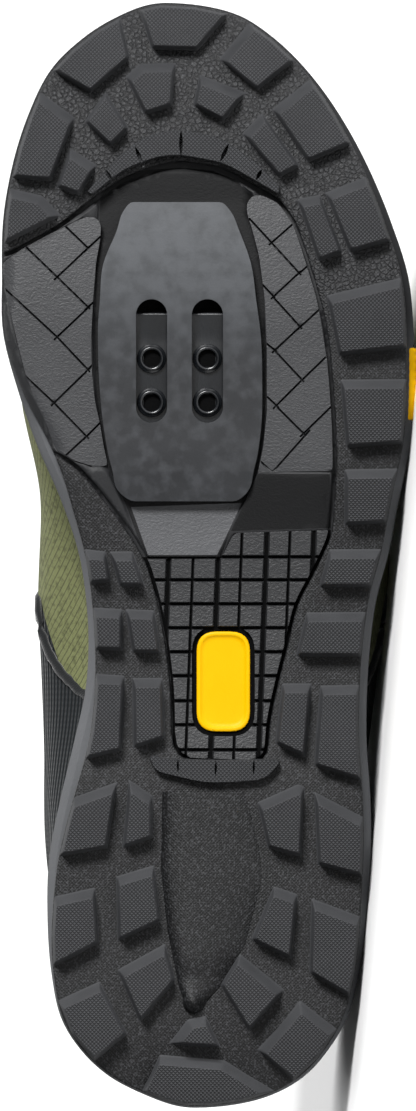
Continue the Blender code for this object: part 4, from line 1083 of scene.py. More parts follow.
def make_cloth(name, colour, pitch, depth, roughness=0.88):
    """Plain black textile: a small weave over the object's own coordinates."""
    made = Surface(name, colour, roughness, Specular_IOR_Level=0.2, Sheen_Weight=0.3)
    x, y, z = made.across()
    threads = weave(made, made.math("ADD", x, z), made.math("ADD", y, z), pitch)
    cloud = made.noise(60, 4)
    mixed = made.mix(threads, shade(colour, 0.5), shade(colour, 1.5))
    made.colour_between(made.ramp(cloud, 0.0, 0.4), mixed, shade(colour, 1.3))
    made.roughness_between(cloud, roughness - 0.08, min(1.0, roughness + 0.08))
    made.bump(threads, depth)
    return made.material


def make_coated(name, colour, roughness):
    """Heat-pressed guard: smooth film over textile, with a fine hexagonal print of its own."""
    made = Surface(name, colour, roughness, Specular_IOR_Level=0.16, Coat_Weight=0.01)
    made.shader.inputs["Coat Roughness"].default_value = 0.35
    cloud = made.noise(50, 5)
    made.colour_between(cloud, shade(colour, 0.7), shade(colour, 1.35))
    made.roughness_between(cloud, roughness - 0.1, roughness + 0.1)
    grain = made.bump(made.ramp(made.cells(640), 0.0, 1.0, 0.0, 0.12), 0.00006)
    made.bump(made.noise(1500, 3), 0.00003, grain)
    return made.material


LUG = make_lug_rubber()
SMOOTH = make_side_rubber()
BASE = make_base_rubber()
BRICK = make_grained("brick plastic", 1.05, 0.000045)
SQUARE = make_grained("square plastic", 0.72, 0.00006)
FLOOR_PLASTIC = make_grained("plate plastic", 0.60, 0.00002, 0.56, 0.2)
# Lighter copy of the plate plastic on the ramp that faces the toe: painted light
PAINTED_LIGHT_PLASTIC = make_grained("painted light plate plastic", 1.75, 0.00004, 0.5)
SHADED_PLASTIC = make_grained("shaded plate plastic", 0.20, 0.00003, 0.66, 0.14)
# Near-black copy of the plate plastic: painted shade in grooves, gaps, slots and bolt holes
PAINTED_SHADE = make_grained("painted shade plastic", 0.06, 0.00004, 0.9, 0.05)
PAD_PLASTIC = make_pad_plastic()
STEEL = make_steel()
YELLOW = make_yellow()
FOAM = make_foam("midsole foam", (0.066, 0.068, 0.072))
TEXTILE = make_upper_textile()
COUNTER = make_coated("coated guard", (0.022, 0.024, 0.027), 0.66)
STAY = make_coated("coated stay", (0.024, 0.026, 0.029), 0.68)
LINING = make_cloth("knitted lining", (0.010, 0.011, 0.0125), 0.0011, 0.00025)
PIPING = make_cloth("rolled edge", (0.0034, 0.0042, 0.0050), 0.0007, 0.00007)
TONGUE_CLOTH = make_cloth("tongue textile", (0.024, 0.027, 0.030), 0.0009, 0.0002)
CORD_CLOTH = make_cloth("braided cord", (0.022, 0.023, 0.026), 0.0007, 0.00025, 0.8)
THREAD = make_cloth("thread", (0.050, 0.053, 0.058), 0.0004, 0.00006, 0.7)


# Building and placing pieces

def finish_piece(name, bm, *materials, smooth=True, turned=True):
    """An object with the mesh, its faces turned outwards unless they are already right."""
    if turned:
        bmesh.ops.recalc_face_normals(bm, faces=bm.faces[:])
    mesh = bpy.data.meshes.new(name)
    bm.to_mesh(mesh)
    bm.free()
    for material in materials:
        mesh.materials.append(material)
    made = bpy.data.objects.new(name, mesh)
    bpy.context.scene.collection.objects.link(made)
    if smooth:
        mesh.shade_smooth()
    return made


def apply_modifiers(obj):
    """Replaces the mesh with what its modifiers make of it."""
    graph = bpy.context.evaluated_depsgraph_get()
    mesh = bpy.data.meshes.new_from_object(obj.evaluated_get(graph))
    obj.modifiers.clear()
    obj.data = mesh


def place(obj, slot, *nodes):
    """Lays a piece down with the shoe and hides the nodes of the model that it stands for."""
    obj.data.transform(LYING)
    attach(obj, "root")
    if nodes:
        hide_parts(*nodes)


def soften(obj, width, segments, angle):
    """Small round edges, and normals that keep the flat faces flat."""
    edge = obj.modifiers.new("edge", "BEVEL")
    edge.width = width
    edge.segments = segments
    edge.limit_method = "ANGLE"
    edge.angle_limit = math.radians(angle)
    edge.harden_normals = False
    obj.modifiers.new("normals", "WEIGHTED_NORMAL").keep_sharp = False


def helper(name, bm):
    """A cutter, which never shows."""
    made = finish_piece(name, bm, smooth=False)
    made.hide_render = True
    return made


def cut(obj, *tools, operation="DIFFERENCE"):
    """Cuts the tools out of a piece, or keeps what lies inside them, and takes the tools away."""
    for tool in tools:
        step = obj.modifiers.new(tool.name, "BOOLEAN")
        step.operation = operation
        step.object = tool
        step.solver = "EXACT"
        step.use_self = True
    apply_modifiers(obj)
    for tool in tools:
        mesh = tool.data
        bpy.data.objects.remove(tool)
        bpy.data.meshes.remove(mesh)


def join(bm, rows, closed=True):
    """Faces between each row of corners and the next one, round a ring or along an open row."""
    faces = []
    for a, b in zip(rows, rows[1:]):
        for i in range(len(a) if closed else len(a) - 1):
            j = (i + 1) % len(a)
            faces.append(bm.faces.new((a[i], a[j], b[j], b[i])))
    return faces


def add_slab(bm, front, back):
    """A closed slab between two grids of points with as many rows and columns."""
    rims = []
    for grid in (front, back):
        rows = [[bm.verts.new(point) for point in row] for row in grid]
        join(bm, rows, closed=False)
        middle = rows[1:-1]
        rims.append(rows[0] + [row[-1] for row in middle] + rows[-1][::-1] + [row[0] for row in middle[::-1]])
    join(bm, rims)


def strip_cap(bm, ring):
    """Closes a ring with strips between its inner and its outer side."""
    count = len(ring) // 2 + 1
    bm.faces.new((ring[0], ring[1], ring[-1]))
    for i in range(1, count - 2):
        bm.faces.new((ring[i], ring[i + 1], ring[-i - 1], ring[-i]))
    bm.faces.new((ring[count - 2], ring[count - 1], ring[count]))


def add_prism(bm, low, high):
    """A closed prism between two polygons with as many corners."""
    rows = [[bm.verts.new(point) for point in polygon] for polygon in (low, high)]
    bm.faces.new(rows[0][::-1])
    bm.faces.new(rows[1])
    join(bm, rows)


def flat_prism(bm, polygon, low, high):
    """An upright prism over a polygon on the sole."""
    add_prism(bm, [(x, y, low) for x, y in polygon], [(x, y, high) for x, y in polygon])


def rounded(points, radius, steps=4):
    """The polygon with round corners, each of them of as many points."""
    size = len(points)
    made = []
    for i in range(size):
        here = points[i]
        back, ahead = points[i - 1] - here, points[(i + 1) % size] - here
        reach = min(radius, 0.42 * np.hypot(*back), 0.42 * np.hypot(*ahead))
        a = here + back / np.hypot(*back) * reach
        b = here + ahead / np.hypot(*ahead) * reach
        for t in np.linspace(0, 1, steps):
            made.append((1 - t) ** 2 * a + 2 * t * (1 - t) * here + t * t * b)
    return np.array(made)


def moved_in(points, amounts):
    """The polygon with each edge moved inwards by its own amount."""
    size = len(points)
    amounts = np.broadcast_to(amounts, size)
    edges = np.roll(points, -1, 0) - points
    normals = np.stack([edges[:, 1], -edges[:, 0]], 1) / np.linalg.norm(edges, axis=1)[:, None]
    offsets = (normals * points).sum(1) - amounts
    made = []
    for i in range(size):
        pair = np.array([normals[i - 1], normals[i]])
        if abs(np.linalg.det(pair)) < 0.2:
            middle = pair.sum(0) / np.linalg.norm(pair.sum(0))
            made.append(points[i] - middle * (amounts[i - 1] + amounts[i]) / 2)
        else:
            made.append(np.linalg.solve(pair, [offsets[i - 1], offsets[i]]))
    return np.array(made)


def in_polygon(points, polygon):
    """Whether each point lies in the polygon."""
    inside = np.zeros(len(points), bool)
    for (x0, y0), (x1, y1) in zip(polygon, np.roll(polygon, -1, 0)):
        crosses = (y0 > points[:, 1]) != (y1 > points[:, 1])
        rise = y1 - y0 if abs(y1 - y0) > 1e-12 else 1e-12
        at = x0 + (points[:, 1] - y0) / rise * (x1 - x0)
        inside ^= crosses & (points[:, 0] < at)
    return inside


def distance_to(points, polygon):
    """Distance of each point from the polygon's line."""
    best = np.full(len(points), np.inf)
    for start, stop in zip(polygon, np.roll(polygon, -1, 0)):
        edge = stop - start
        part = np.clip(((points - start) @ edge) / max(edge @ edge, 1e-15), 0, 1)
        best = np.minimum(best, np.linalg.norm(points - start - part[:, None] * edge, axis=1))
    return best


def plan_sheet(bm, loops, keep, height, spacing, skirt):
    """A sheet over part of the sole: triangles between loops and a grid, with a wall at its edge."""
    points, edges = [], []
    for loop in loops:
        first = len(points)
        points += [tuple(point) for point in loop]
        edges += [(first + i, first + (i + 1) % len(loop)) for i in range(len(loop))]
    low, high = np.min(points, 0), np.max(points, 0)
    step = spacing * math.sqrt(3) / 2
    for j, x in enumerate(np.arange(low[0], high[0], step)):
        for y in np.arange(low[1] + (j % 2) * spacing / 2, high[1], spacing):
            points.append((x, y))
    made = geometry.delaunay_2d_cdt([Vector(point) for point in points], edges, [], 0, 1e-6)
    flat = np.array([tuple(point) for point in made[0]])
    triangles = np.array(made[2])
    triangles = triangles[keep(flat[triangles].mean(1))]
    used, triangles = np.unique(triangles, return_inverse=True)
    triangles = triangles.reshape(-1, 3)
    flat = flat[used]
    z = height(flat)
    verts = [bm.verts.new((x, y, h)) for (x, y), h in zip(flat, z)]
    for a, b, c in triangles:
        turn = np.cross(flat[b] - flat[a], flat[c] - flat[a])
        corners = (a, c, b) if turn > 0 else (a, b, c)
        bm.faces.new([verts[i] for i in corners])
    border = [edge for edge in bm.edges if len(edge.link_faces) == 1]
    lower = {}
    for edge in border:
        face = edge.link_faces[0]
        loop = next(item for item in face.loops if item.edge == edge)
        a, b = loop.vert, loop.link_loop_next.vert
        for vert in (a, b):
            if vert not in lower:
                lower[vert] = bm.verts.new((vert.co.x, vert.co.y, skirt(vert.co.x)))
        bm.faces.new((b, a, lower[a], lower[b]))


# Tread

FILLET = 0.0004
CORNER = 0.0005
SIDE_GAP = 0.0002
RIM_STEP = 0.0075

# The thin cuts across the low bars, from point to point of the photograph
BUMPER_SIPES = (
    ((181, 129), (181, 157)), ((135, 146), (143, 165)), ((105, 169), (112, 181)),
    ((229, 143), (220, 162)), ((262, 169), (256, 180)),
)
CRESCENT_SIPES = (((178, 757), (178, 773)), ((216, 760), (215.5, 776)), ((254, 759), (253.5, 775)))
BUMPER_SIPE_WIDTH = 0.0010
CRESCENT_SIPE_WIDTH = 0.0006

# The keel's round tip and the lump on it
KEEL_TIP = 0.0030
KEEL_TIP_ACROSS = -0.0032
KEEL_KNOB = 0.0017
KEEL_KNOB_HEIGHT = 0.0018

# The rubber between the blocks
BASE_ROUNDING = 0.0006
POCKET_LINE = rounded(counter_clockwise(scaled(POCKET_INNER + POCKET_OUTER, BALL_WIDTH)), 1.0, 5)


def rubber_inset(extra):
    """The rubber's edge, moved inwards by a further distance."""
    return Inset(lambda share: RUBBER_LINE[-1](share) + extra, lambda share: RUBBER_LINE[1](share) + extra)


def outline_line(extra):
    """The rubber's edge as a polygon on the sole."""
    return rubber_inset(extra).ring(base_z, 170)[:, :2]


def block_rings(foot, rim, bevels):
    """Rings of a block from its running face to its root: polygon, level, and how far from it."""
    face = moved_in(foot, bevels)
    flare = np.where(rim, 0.0, FILLET)
    profile = (
        (moved_in(face, 0.00036), tread_z, 0.0),
        (moved_in(face, 0.00010), tread_z, 0.00004),
        (face + (foot - face) * 0.04, tread_z, 0.00016),
        (face + (foot - face) * 0.86, base_z, -0.85 * FILLET),
        (moved_in(foot, -0.14 * flare), base_z, -0.35 * FILLET),
        (moved_in(foot, -0.55 * flare), base_z, -0.07 * FILLET),
        (moved_in(foot, -1.2 * flare), base_z, 0.0003),
        (moved_in(foot, 0.0), base_z, 0.0016),
    )
    return [(rounded(polygon, CORNER), level, below) for polygon, level, below in profile]


def add_block(bm, corners, rim_edges=0):
    """One tread block. Its first edges, as many as are said, lie on the sole's rim. The side that
    faces the toe leans in most."""
    points = np.array(corners, float)
    rim = np.arange(len(points)) < rim_edges
    if area_twice(points) < 0:
        points = points[::-1]
        rim = np.roll(rim[::-1], -1)
    edges = np.roll(points, -1, 0) - points
    ahead = edges[:, 1] / np.linalg.norm(edges, axis=1)
    bevels = np.where((ahead > 0.6) & ~rim, TOE_BEVEL, DRAFT)
    rows = []
    for polygon, level, below in block_rings(points, rim, bevels):
        heights = level(polygon[:, 0]) + below
        rows.append([bm.verts.new((x, y, z)) for (x, y), z in zip(polygon, heights)])
    bm.faces.new(rows[0])
    bm.faces.new(rows[-1][::-1]).material_index = 1
    for face in join(bm, rows)[len(rows[0]):]:
        face.material_index = 1


def make_tread():
    """Every tread block in one piece: knurled running faces and smooth sides."""
    bm = bmesh.new()
    rubber = rubber_inset(SIDE_GAP)
    for rows, width in ((EDGE_BLOCKS_BALL, BALL_WIDTH), (EDGE_BLOCKS_HEEL, HEEL_WIDTH)):
        for start, stop, *corners in rows:
            fine = np.array(edge_path(rubber, start, stop, 12))
            length = np.linalg.norm(np.diff(fine, axis=0), axis=1).sum()
            count = max(2, round(length / RIM_STEP) + 1)
            path = edge_path(rubber, start, stop, count)
            add_block(bm, path + scaled(corners, width), count - 1)
    for rows, width in ((INNER_BLOCKS_BALL, BALL_WIDTH), (INNER_BLOCKS_HEEL, HEEL_WIDTH)):
        for corners in rows:
            add_block(bm, scaled(corners, width))
    place(finish_piece("tread_blocks", bm, LUG, SMOOTH), "rubber", "outsole")


def lens(bm, start, stop, width, low, high):
    """An eye-shaped cutter between two points of the photograph."""
    a, b = np.array(on_sole(*start)), np.array(on_sole(*stop))
    side = np.array([-(b - a)[1], (b - a)[0]]) / np.hypot(*(b - a)) * width / 2
    points = [a + (b - a) * t + side * math.sin(math.pi * t) for t in np.linspace(0, 1, 9)]
    points += [a + (b - a) * t - side * math.sin(math.pi * t) for t in np.linspace(1, 0, 9)[1:-1]]
    flat_prism(bm, counter_clockwise(points), low, high)


def slice_along(obj, step, axis=0):
    """Cuts the faces at stations along or across the shoe, so that a piece built flat can bend."""
    bm = bmesh.new()
    bm.from_mesh(obj.data)
    low = min(vert.co[axis] for vert in bm.verts)
    high = max(vert.co[axis] for vert in bm.verts)
    normal = Vector((axis == 0, axis == 1, 0))
    for station in np.arange(low + step / 2, high, step):
        everything = bm.verts[:] + bm.edges[:] + bm.faces[:]
        bmesh.ops.bisect_plane(bm, geom=everything, dist=1e-6, plane_co=normal * station, plane_no=normal)
    bm.to_mesh(obj.data)
    bm.free()


def bend(obj, level):
    """Moves a piece that was built flat to a level that changes over the sole."""
    mesh = obj.data
    flat = np.zeros(len(mesh.vertices) * 3)
    mesh.vertices.foreach_get("co", flat)
    flat = flat.reshape(-1, 3)
    flat[:, 2] += level(flat[:, :2])
    mesh.vertices.foreach_set("co", flat.ravel())
    mesh.update()


def keep_flats(obj):
    """Smooth shading that leaves the wide faces flat and the sharp edges sharp."""
    obj.data.shade_smooth()
    weigh = obj.modifiers.new("normals", "WEIGHTED_NORMAL")
    weigh.keep_sharp = True


def make_low_bar(name, corners, width, height, sipes, sipe_width):
    """A low knurled bar with narrow sipes across it."""
    line = rounded(counter_clockwise(scaled(corners, width)), 0.004, 5)
    line = np.array([p for p, q in zip(line, np.roll(line, -1, 0)) if np.hypot(*(p - q)) > 2e-4])
    bm = bmesh.new()
    levels = ((line, height + 0.001), (moved_in(line, 0.0003), 0.0))
    rows = [[bm.verts.new((x, y, z)) for x, y in polygon] for polygon, z in levels]
    root = bm.faces.new(rows[0])
    bm.faces.new(rows[1])
    for face in [root] + join(bm, rows):
        face.material_index = 1
    bar = finish_piece(name, bm, LUG, SMOOTH)
    tool = bmesh.new()
    for start, stop in sipes:
        lens(tool, start, stop, sipe_width, -0.002, height * 0.75)
    cut(bar, helper(name + " sipes", tool))
    slice_along(bar, 0.0025)
    soften(bar, 0.00012, 2, 40)
    apply_modifiers(bar)
    bend(bar, lambda points: tread_z(points[:, 0]) + LUG_HEIGHT - height)
    keep_flats(bar)
    place(bar, "rubber")


def make_keel():
    """A boat-shaped swelling down the middle of the heel, crisp at its inner side, with a round tip."""
    line = scaled(KEEL, HEEL_WIDTH)
    tip = min(range(len(line)), key=lambda i: line[i][0])
    inner = np.array(line[: tip + 1])[::-1]
    outer = np.array(line[tip:])
    start, stop = inner[0][0], inner[-1][0]
    bm = bmesh.new()
    rows = []
    parts = np.linspace(-1, 1, 25)
    for x in start + (stop - start) * np.linspace(0.0, 1.0, 70) ** 1.5:
        left = float(np.interp(x, inner[:, 0], inner[:, 1]))
        right = float(np.interp(x, outer[:, 0], outer[:, 1]))
        ball = math.sqrt(max(0.0, KEEL_TIP ** 2 - min(0.0, x - start - KEEL_TIP) ** 2))
        if x < start + 2.2 * KEEL_TIP:
            left = min(left, KEEL_TIP_ACROSS - ball)
            right = max(right, KEEL_TIP_ACROSS + ball)
        reach = min(1.0, (x - start) / 0.0045)
        end = math.sqrt(max(0.0, 1 - (1 - reach) ** 2))
        row = [bm.verts.new((x, left, float(base_z(x)) + 0.0005))]
        for part in parts:
            edge = (1 - abs(part) ** (4.5 if part < 0 else 2.6)) ** 0.6
            crest = 1.0 - 0.42 * max(0.0, part + 0.55) ** 1.2
            height = KEEL_HEIGHT * 1.3 * edge * crest * end
            y = (left + right) / 2 + (right - left) / 2 * part
            near = ((x - start - KEEL_TIP) ** 2 + (y - KEEL_TIP_ACROSS) ** 2) / KEEL_KNOB ** 2
            neck = ((x - start - 3 * KEEL_TIP) / KEEL_TIP) ** 2
            height *= 1 - 0.22 * math.exp(-neck)
            height += KEEL_KNOB_HEIGHT * math.exp(-near)
            row.append(bm.verts.new((x, y, float(base_z(x)) + 0.0003 - height)))
        row.append(bm.verts.new((x, right, float(base_z(x)) + 0.0005)))
        rows.append(row)
    join(bm, rows, closed=False)
    place(finish_piece("heel_keel", bm, BASE), "rubber")


def rounding(distance, radius):
    """Drop of a rounded edge at a distance from it."""
    part = np.clip(radius - distance, 0, radius)
    return radius - np.sqrt(radius * radius - part * part)


def make_rubber_base():
    """The rubber between the blocks, with round edges at the rim and at the pocket."""
    rim = outline_line(0.0)
    loops = [rim] + [outline_line(step) for step in (0.00012, 0.0003, 0.0006)]
    loops += [POCKET_LINE] + [moved_in(POCKET_LINE, -step) for step in (0.00012, 0.0003, 0.0006)]

    def keep(points):
        return in_polygon(points, rim) & ~in_polygon(points, POCKET_LINE)

    def height(points):
        near = np.minimum(distance_to(points, rim), distance_to(points, POCKET_LINE))
        return base_z(points[:, 0]) + rounding(near, BASE_ROUNDING)

    bm = bmesh.new()
    plan_sheet(bm, loops, keep, height, 0.0045, lambda x: float(shell_z(x)))
    place(finish_piece("rubber_base", bm, BASE, turned=False), "rubber", "outsole")


# Plate in the pocket

PLATE_LIFT = 0.0014
POCKET_GAP = 0.0009
RECESS_SINK = 0.0006
RECESS_EDGE = 0.0009
GROOVE = 0.0008
GROOVE_WIDTH = 0.00075
FRONT_GAP = 0.0009
PLATE_SINK = 0.0010
CHAMFER = 0.0024
SQUARE_FLOOR = 0.0006
SQUARE_THICKNESS = 0.0009
SQUARE_GROOVE = 0.0012
ROW_WIDTH = 0.0014
NARROW_WIDTH = 0.0011
WIDE_WIDTH = 0.0021
RECESS = plan(
    (100, 197), (108, 185), (125, 175), (150, 169), (181, 167), (212, 170), (235, 179), (250, 194),
    (257, 222), (262, 260), (264.5, 300), (266, 350), (266, 400), (262, 440), (256, 470), (243, 500),
    (228, 530), (217, 556), (148, 556), (137, 535), (126, 505), (112, 475), (104, 450), (98, 415),
    (95, 370), (94, 320), (96, 270), (99, 235),
)
PAD_FRONT = 0.820
RECESS_FRONT = 0.850
RAMP_TOP = 0.499
RAMP_FOOT = 0.545
FLAT_TOP = 0.575
GRID_TOP = 0.5225


def outer_lift(points):
    """How far the plate stands out round its pocket."""
    fall = np.clip((FLAT_TOP - points[:, 0] / LENGTH) / (FLAT_TOP - GRID_TOP), 0, 1)
    return PLATE_LIFT * (1 - 0.75 * fall)


def plate_lift(points):
    """How far the plate stands out from the level of its pocket."""
    share = points[:, 0] / LENGTH
    front = np.clip((share - PAD_FRONT) / (RECESS_FRONT - PAD_FRONT), 0, 1)
    ramp = np.clip((RAMP_FOOT - share) / (RAMP_FOOT - RAMP_TOP), 0, 1)
    inside = (PLATE_LIFT + RECESS_SINK) * np.maximum(front * 0.6, ramp) - RECESS_SINK
    outside = outer_lift(points)
    away = np.where(in_polygon(points, RECESS), 0.0, distance_to(points, RECESS))
    part = np.clip(away / RECESS_EDGE, 0, 1)
    return inside + (outside - inside) * part * part * (3 - 2 * part)


BRICKS_INNER = plan(
    (2, 263), (30, 243), (60, 229), (80, 219), (90, 216), (98, 219), (101, 226), (100, 240), (96, 262),
    (93, 300), (91, 340), (92, 375), (95, 402), (100, 424), (104, 448), (108, 466), (92, 466),
    (73, 460), (66, 455), (57, 451), (52, 440), (43, 415), (33, 395), (26, 376), (18, 345), (10, 310),
    (4, 282),
)
BRICKS_OUTER = plan(
    (247, 203), (252, 196), (260, 194.5), (271, 199), (283, 206), (293, 224), (302, 246), (310, 269),
    (319, 311), (327, 360), (331.5, 411), (333, 471), (258, 472), (263, 450), (267, 411), (267, 350),
    (265, 300), (259, 255), (252, 228), (247, 213),
)
GROOVES = (
    ((62, 223), (88, 248)), ((84, 252), (104, 233)), ((26, 247), (57, 277)), ((57, 277), (90, 309)),
    ((85, 310), (98, 298)), ((54, 280), (90, 246)), ((4, 288), (57, 337)), ((57, 337), (90, 372)),
    ((84, 374), (98, 359)), ((54, 340), (90, 306)), ((23, 374), (54, 403)), ((54, 403), (89, 439)),
    ((83, 440), (103, 420)), ((51, 406), (90, 368)), ((62, 459), (90, 433)),
    ((249, 218), (272, 243)), ((269, 245), (295, 222)), ((270, 241), (301, 275)), ((296, 276), (310, 264)),
    ((260, 282), (275, 298)), ((271, 299), (301, 271)), ((273, 297), (302, 329)), ((297, 330), (320, 309)),
    ((262, 340), (277, 352)), ((272, 353), (302, 325)), ((275, 351), (304, 382)), ((299, 383), (326, 357)),
    ((263, 393), (279, 408)), ((273, 409), (302, 380)), ((277, 407), (306, 436)), ((300, 437), (331, 407)),
    ((258, 459), (275, 475)), ((270, 475), (310, 430)),
)
RAMP_ZONE = plan((131, 507), (242, 503), (217, 555), (148, 555))
SHADED_ZONE = plan((258, 474), (330, 474), (331, 528), (231, 531))
SQUARES_ZONE = plan(
    (140, 557), (222, 557), (234, 533), (331, 530), (331, 540), (321, 563), (311, 590), (302, 615),
    (294, 640), (288, 665), (281, 700), (275, 730), (271, 761), (173, 757), (173, 720), (171, 680),
    (166, 640), (158, 600), (148, 575),
)
ROW_LINES = (557, 580, 604, 628, 652, 676, 701, 725, 750)
NARROW_LINES = (194.0, 242.0, 290.0)
WIDE_LINES = (169.5, 219.0, 267.0, 314.0)
COLUMN_TOP = 536
COLUMN_BOTTOM = 760
COLUMN_LEAN = 8.5


def add_groove(bm, start, stop, width, depth, flat):
    """A cutter with a tapering section, along a line between two points on the sole."""
    a, b = np.array(start), np.array(stop)
    side = np.array([-(b - a)[1], (b - a)[0]]) / np.hypot(*(b - a))
    rows = []
    for half, z in ((width, -depth * 0.7), (flat, depth)):
        rows.append([(*(a - side * half / 2), z), (*(b - side * half / 2), z),
                     (*(b + side * half / 2), z), (*(a + side * half / 2), z)])
    add_prism(bm, rows[0], rows[1])


def make_tiles(name, zones, grooves, thickness, depth, material, extra, edge, holes=()):
    """Raised tiles: slabs with cut corners and grooves, bent onto the plate."""
    bm = bmesh.new()
    for zone in zones:
        flat_prism(bm, rounded(zone, 0.0012, 3), -thickness, 0.0009)
    tiles = finish_piece(name, bm, material, PAINTED_SHADE)
    around = bmesh.new()
    flat_prism(around, moved_in(POCKET_LINE, POCKET_GAP), -0.01, 0.01)
    cut(tiles, helper(name + " border", around), operation="INTERSECT")
    tool = bmesh.new()
    for groove in grooves:
        add_groove(tool, *groove, depth, groove[2] * 0.4)
    for vert in tool.verts:
        vert.co.z -= thickness
    tools = [helper(name + " grooves", tool)]
    for k, hole in enumerate(holes):
        gap = bmesh.new()
        flat_prism(gap, hole, -0.01, 0.01)
        tools.append(helper(f"{name} hole {k}", gap))
    cut(tiles, *tools)
    slice_along(tiles, 0.0016, 0)
    slice_along(tiles, 0.0016, 1)
    soften(tiles, edge, 2, 30)
    apply_modifiers(tiles)
    # Groove floors take the near-black plastic: painted shade
    for face in tiles.data.polygons:
        low = min(tiles.data.vertices[k].co.z for k in face.vertices)
        face.material_index = int(low > depth * 0.8 - thickness)
    bend(tiles, lambda points: plate_z(points[:, 0]) - extra(points))
    keep_flats(tiles)
    return tiles


def column_at(column, row):
    """Where a slightly leaning line between the squares crosses a row of the photograph."""
    return column - COLUMN_LEAN * (row - COLUMN_TOP) / (COLUMN_BOTTOM - COLUMN_TOP)


def slot_line(side, grow):
    """The outline of one slot of the pad, on its inner or outer side, made larger all round."""
    across = CLEAT_ACROSS + side * BOLT_PITCH / 2
    line = stadium(CLEAT_SHARE * LENGTH, across, SLOT_LENGTH + 2 * grow, SLOT_WIDTH + 2 * grow, 16)
    return np.array(line)


def make_plate():
    """The plate: its floor as one sheet, then bricks beside the pad and squares in the waist."""
    edge = outline_line(0.0)
    line = moved_in(POCKET_LINE, -0.0004)

    slots = [slot_line(side, 0.0006) for side in (-1, 1)]

    def keep(points):
        open_here = in_polygon(points, slots[0]) | in_polygon(points, slots[1])
        return in_polygon(points, line) & in_polygon(points, edge) & ~open_here

    def chamfer(points):
        near = distance_to(points, edge)
        return np.clip(CHAMFER - near, 0, None) * 0.75

    def floor(points):
        tiled = in_polygon(points, BRICKS_INNER) | in_polygon(points, BRICKS_OUTER)
        squares = in_polygon(points, SQUARES_ZONE)
        low = np.where(tiled, GROOVE, 0.0)
        low = np.where(squares, SQUARE_FLOOR, low)
        wide = np.clip((points[:, 0] / LENGTH - 0.80) / 0.04, 0, 1)
        gap = POCKET_GAP + FRONT_GAP * wide
        sunk = np.clip(1 - (distance_to(points, POCKET_LINE) - gap) / 0.0003, 0, 1)
        level = plate_lift(points) - low - chamfer(points)
        level = np.minimum(level, np.where(sunk > 0.5, -PLATE_SINK, level))
        return plate_z(points[:, 0]) - level

    loops = [edge, line, RECESS, moved_in(RECESS, -RECESS_EDGE), moved_in(RECESS, -RECESS_EDGE / 2)]
    loops += [outline_line(step) for step in (CHAMFER, CHAMFER * 0.5)]
    loops += [BRICKS_INNER, BRICKS_OUTER, SQUARES_ZONE, RAMP_ZONE, SHADED_ZONE]
    loops += [moved_in(POCKET_LINE, step) for step in (0.00095, 0.00115, 0.00185, 0.00205)]
    loops += slots
    bm = bmesh.new()
    plan_sheet(bm, loops, keep, floor, 0.0018, lambda x: float(shell_z(x)))
    # The recess round the pad and the shaded zone take the dark copy of the plate plastic, painted shade; the
    # ramp takes the light copy, painted light; the floor under the squares takes the near-black copy, painted
    # shade
    for slot, zone in ((2, RECESS), (1, RAMP_ZONE), (2, SHADED_ZONE), (3, SQUARES_ZONE)):
        middles = np.array([face.calc_center_median().to_tuple()[:2] for face in bm.faces])
        for face, inside in zip(bm.faces, in_polygon(middles, zone)):
            if inside:
                face.material_index = slot
    plate = finish_piece("plate_floor", bm, FLOOR_PLASTIC, PAINTED_LIGHT_PLASTIC, SHADED_PLASTIC, PAINTED_SHADE, turned=False)
    place(plate, "plate", "pocket_plate")

    brick_lines = [(on_sole(*a), on_sole(*b), GROOVE_WIDTH) for a, b in GROOVES]
    bricks = make_tiles(
        "plate_bricks", (BRICKS_INNER, BRICKS_OUTER), brick_lines, 0.0, GROOVE, BRICK,
        lambda points: outer_lift(points) - chamfer(points), 0.00012,
    )
    place(bricks, "plate")

    lines = [(on_sole(100, row), on_sole(350, row), ROW_WIDTH) for row in ROW_LINES]
    for columns, width in ((NARROW_LINES, NARROW_WIDTH), (WIDE_LINES, WIDE_WIDTH)):
        for column in columns:
            ends = [on_sole(column_at(column, row), row) for row in (COLUMN_TOP - 30, COLUMN_BOTTOM + 30)]
            lines.append((*ends, width))
    squares = make_tiles(
        "waist_squares", (SQUARES_ZONE,), lines, SQUARE_THICKNESS, SQUARE_GROOVE, SQUARE,
        lambda points: np.full(len(points), 0.0002), 0.00030, (badge_line(0.0010),),
    )
    place(squares, "plate")


# Cleat fitting

# The nut plate's hollow, and its bosses from the foot to the hole: radius and height
NUT_HOLLOW = 0.0004
HOLE_RADIUS = 0.00225
BOSS_PROFILE = (
    (0.0037, -0.0004), (0.0037, 0.0002), (0.0035, 0.0005), (0.0031, 0.0005), (0.0030, 0.0009),
    (0.0027, 0.0010), (0.0024, 0.0009),
)
THREAD_TURNS = 5
THREAD_PITCH = 0.0005


def pad_line():
    """The pad's outline with round corners."""
    inner, outer = Curve(PAD, 1, BALL_WIDTH), Curve(PAD, 2, BALL_WIDTH)
    share = np.linspace(PAD[0][0], PAD[-1][0], 46)
    there = np.stack([share * LENGTH, inner(share)], 1)
    back = np.stack([share * LENGTH, outer(share)], 1)[::-1]
    return rounded(counter_clockwise(np.concatenate([there, back])), 0.0012, 3)


def make_pad():
    """The smooth pad with its two slots."""
    bm = bmesh.new()
    outline = pad_line()
    flat_prism(bm, outline, -CLEAR - PAD_THICKNESS, -CLEAR + 0.0004)
    pad = finish_piece("cleat_pad_cover", bm, PAD_PLASTIC)
    tool = bmesh.new()
    for side in (-1, 1):
        flat_prism(tool, slot_line(side, 0.0), -0.01, 0.01)
    cut(pad, helper("slots", tool))
    slice_along(pad, 0.005)
    soften(pad, 0.00045, 3, 40)
    apply_modifiers(pad)
    bend(pad, lambda points: plate_z(points[:, 0]))
    keep_flats(pad)
    place(pad, "pad", "cleat_pad")


def turns(count):
    """Angles of as many points round a circle."""
    return np.linspace(0, 2 * math.pi, count, endpoint=False)


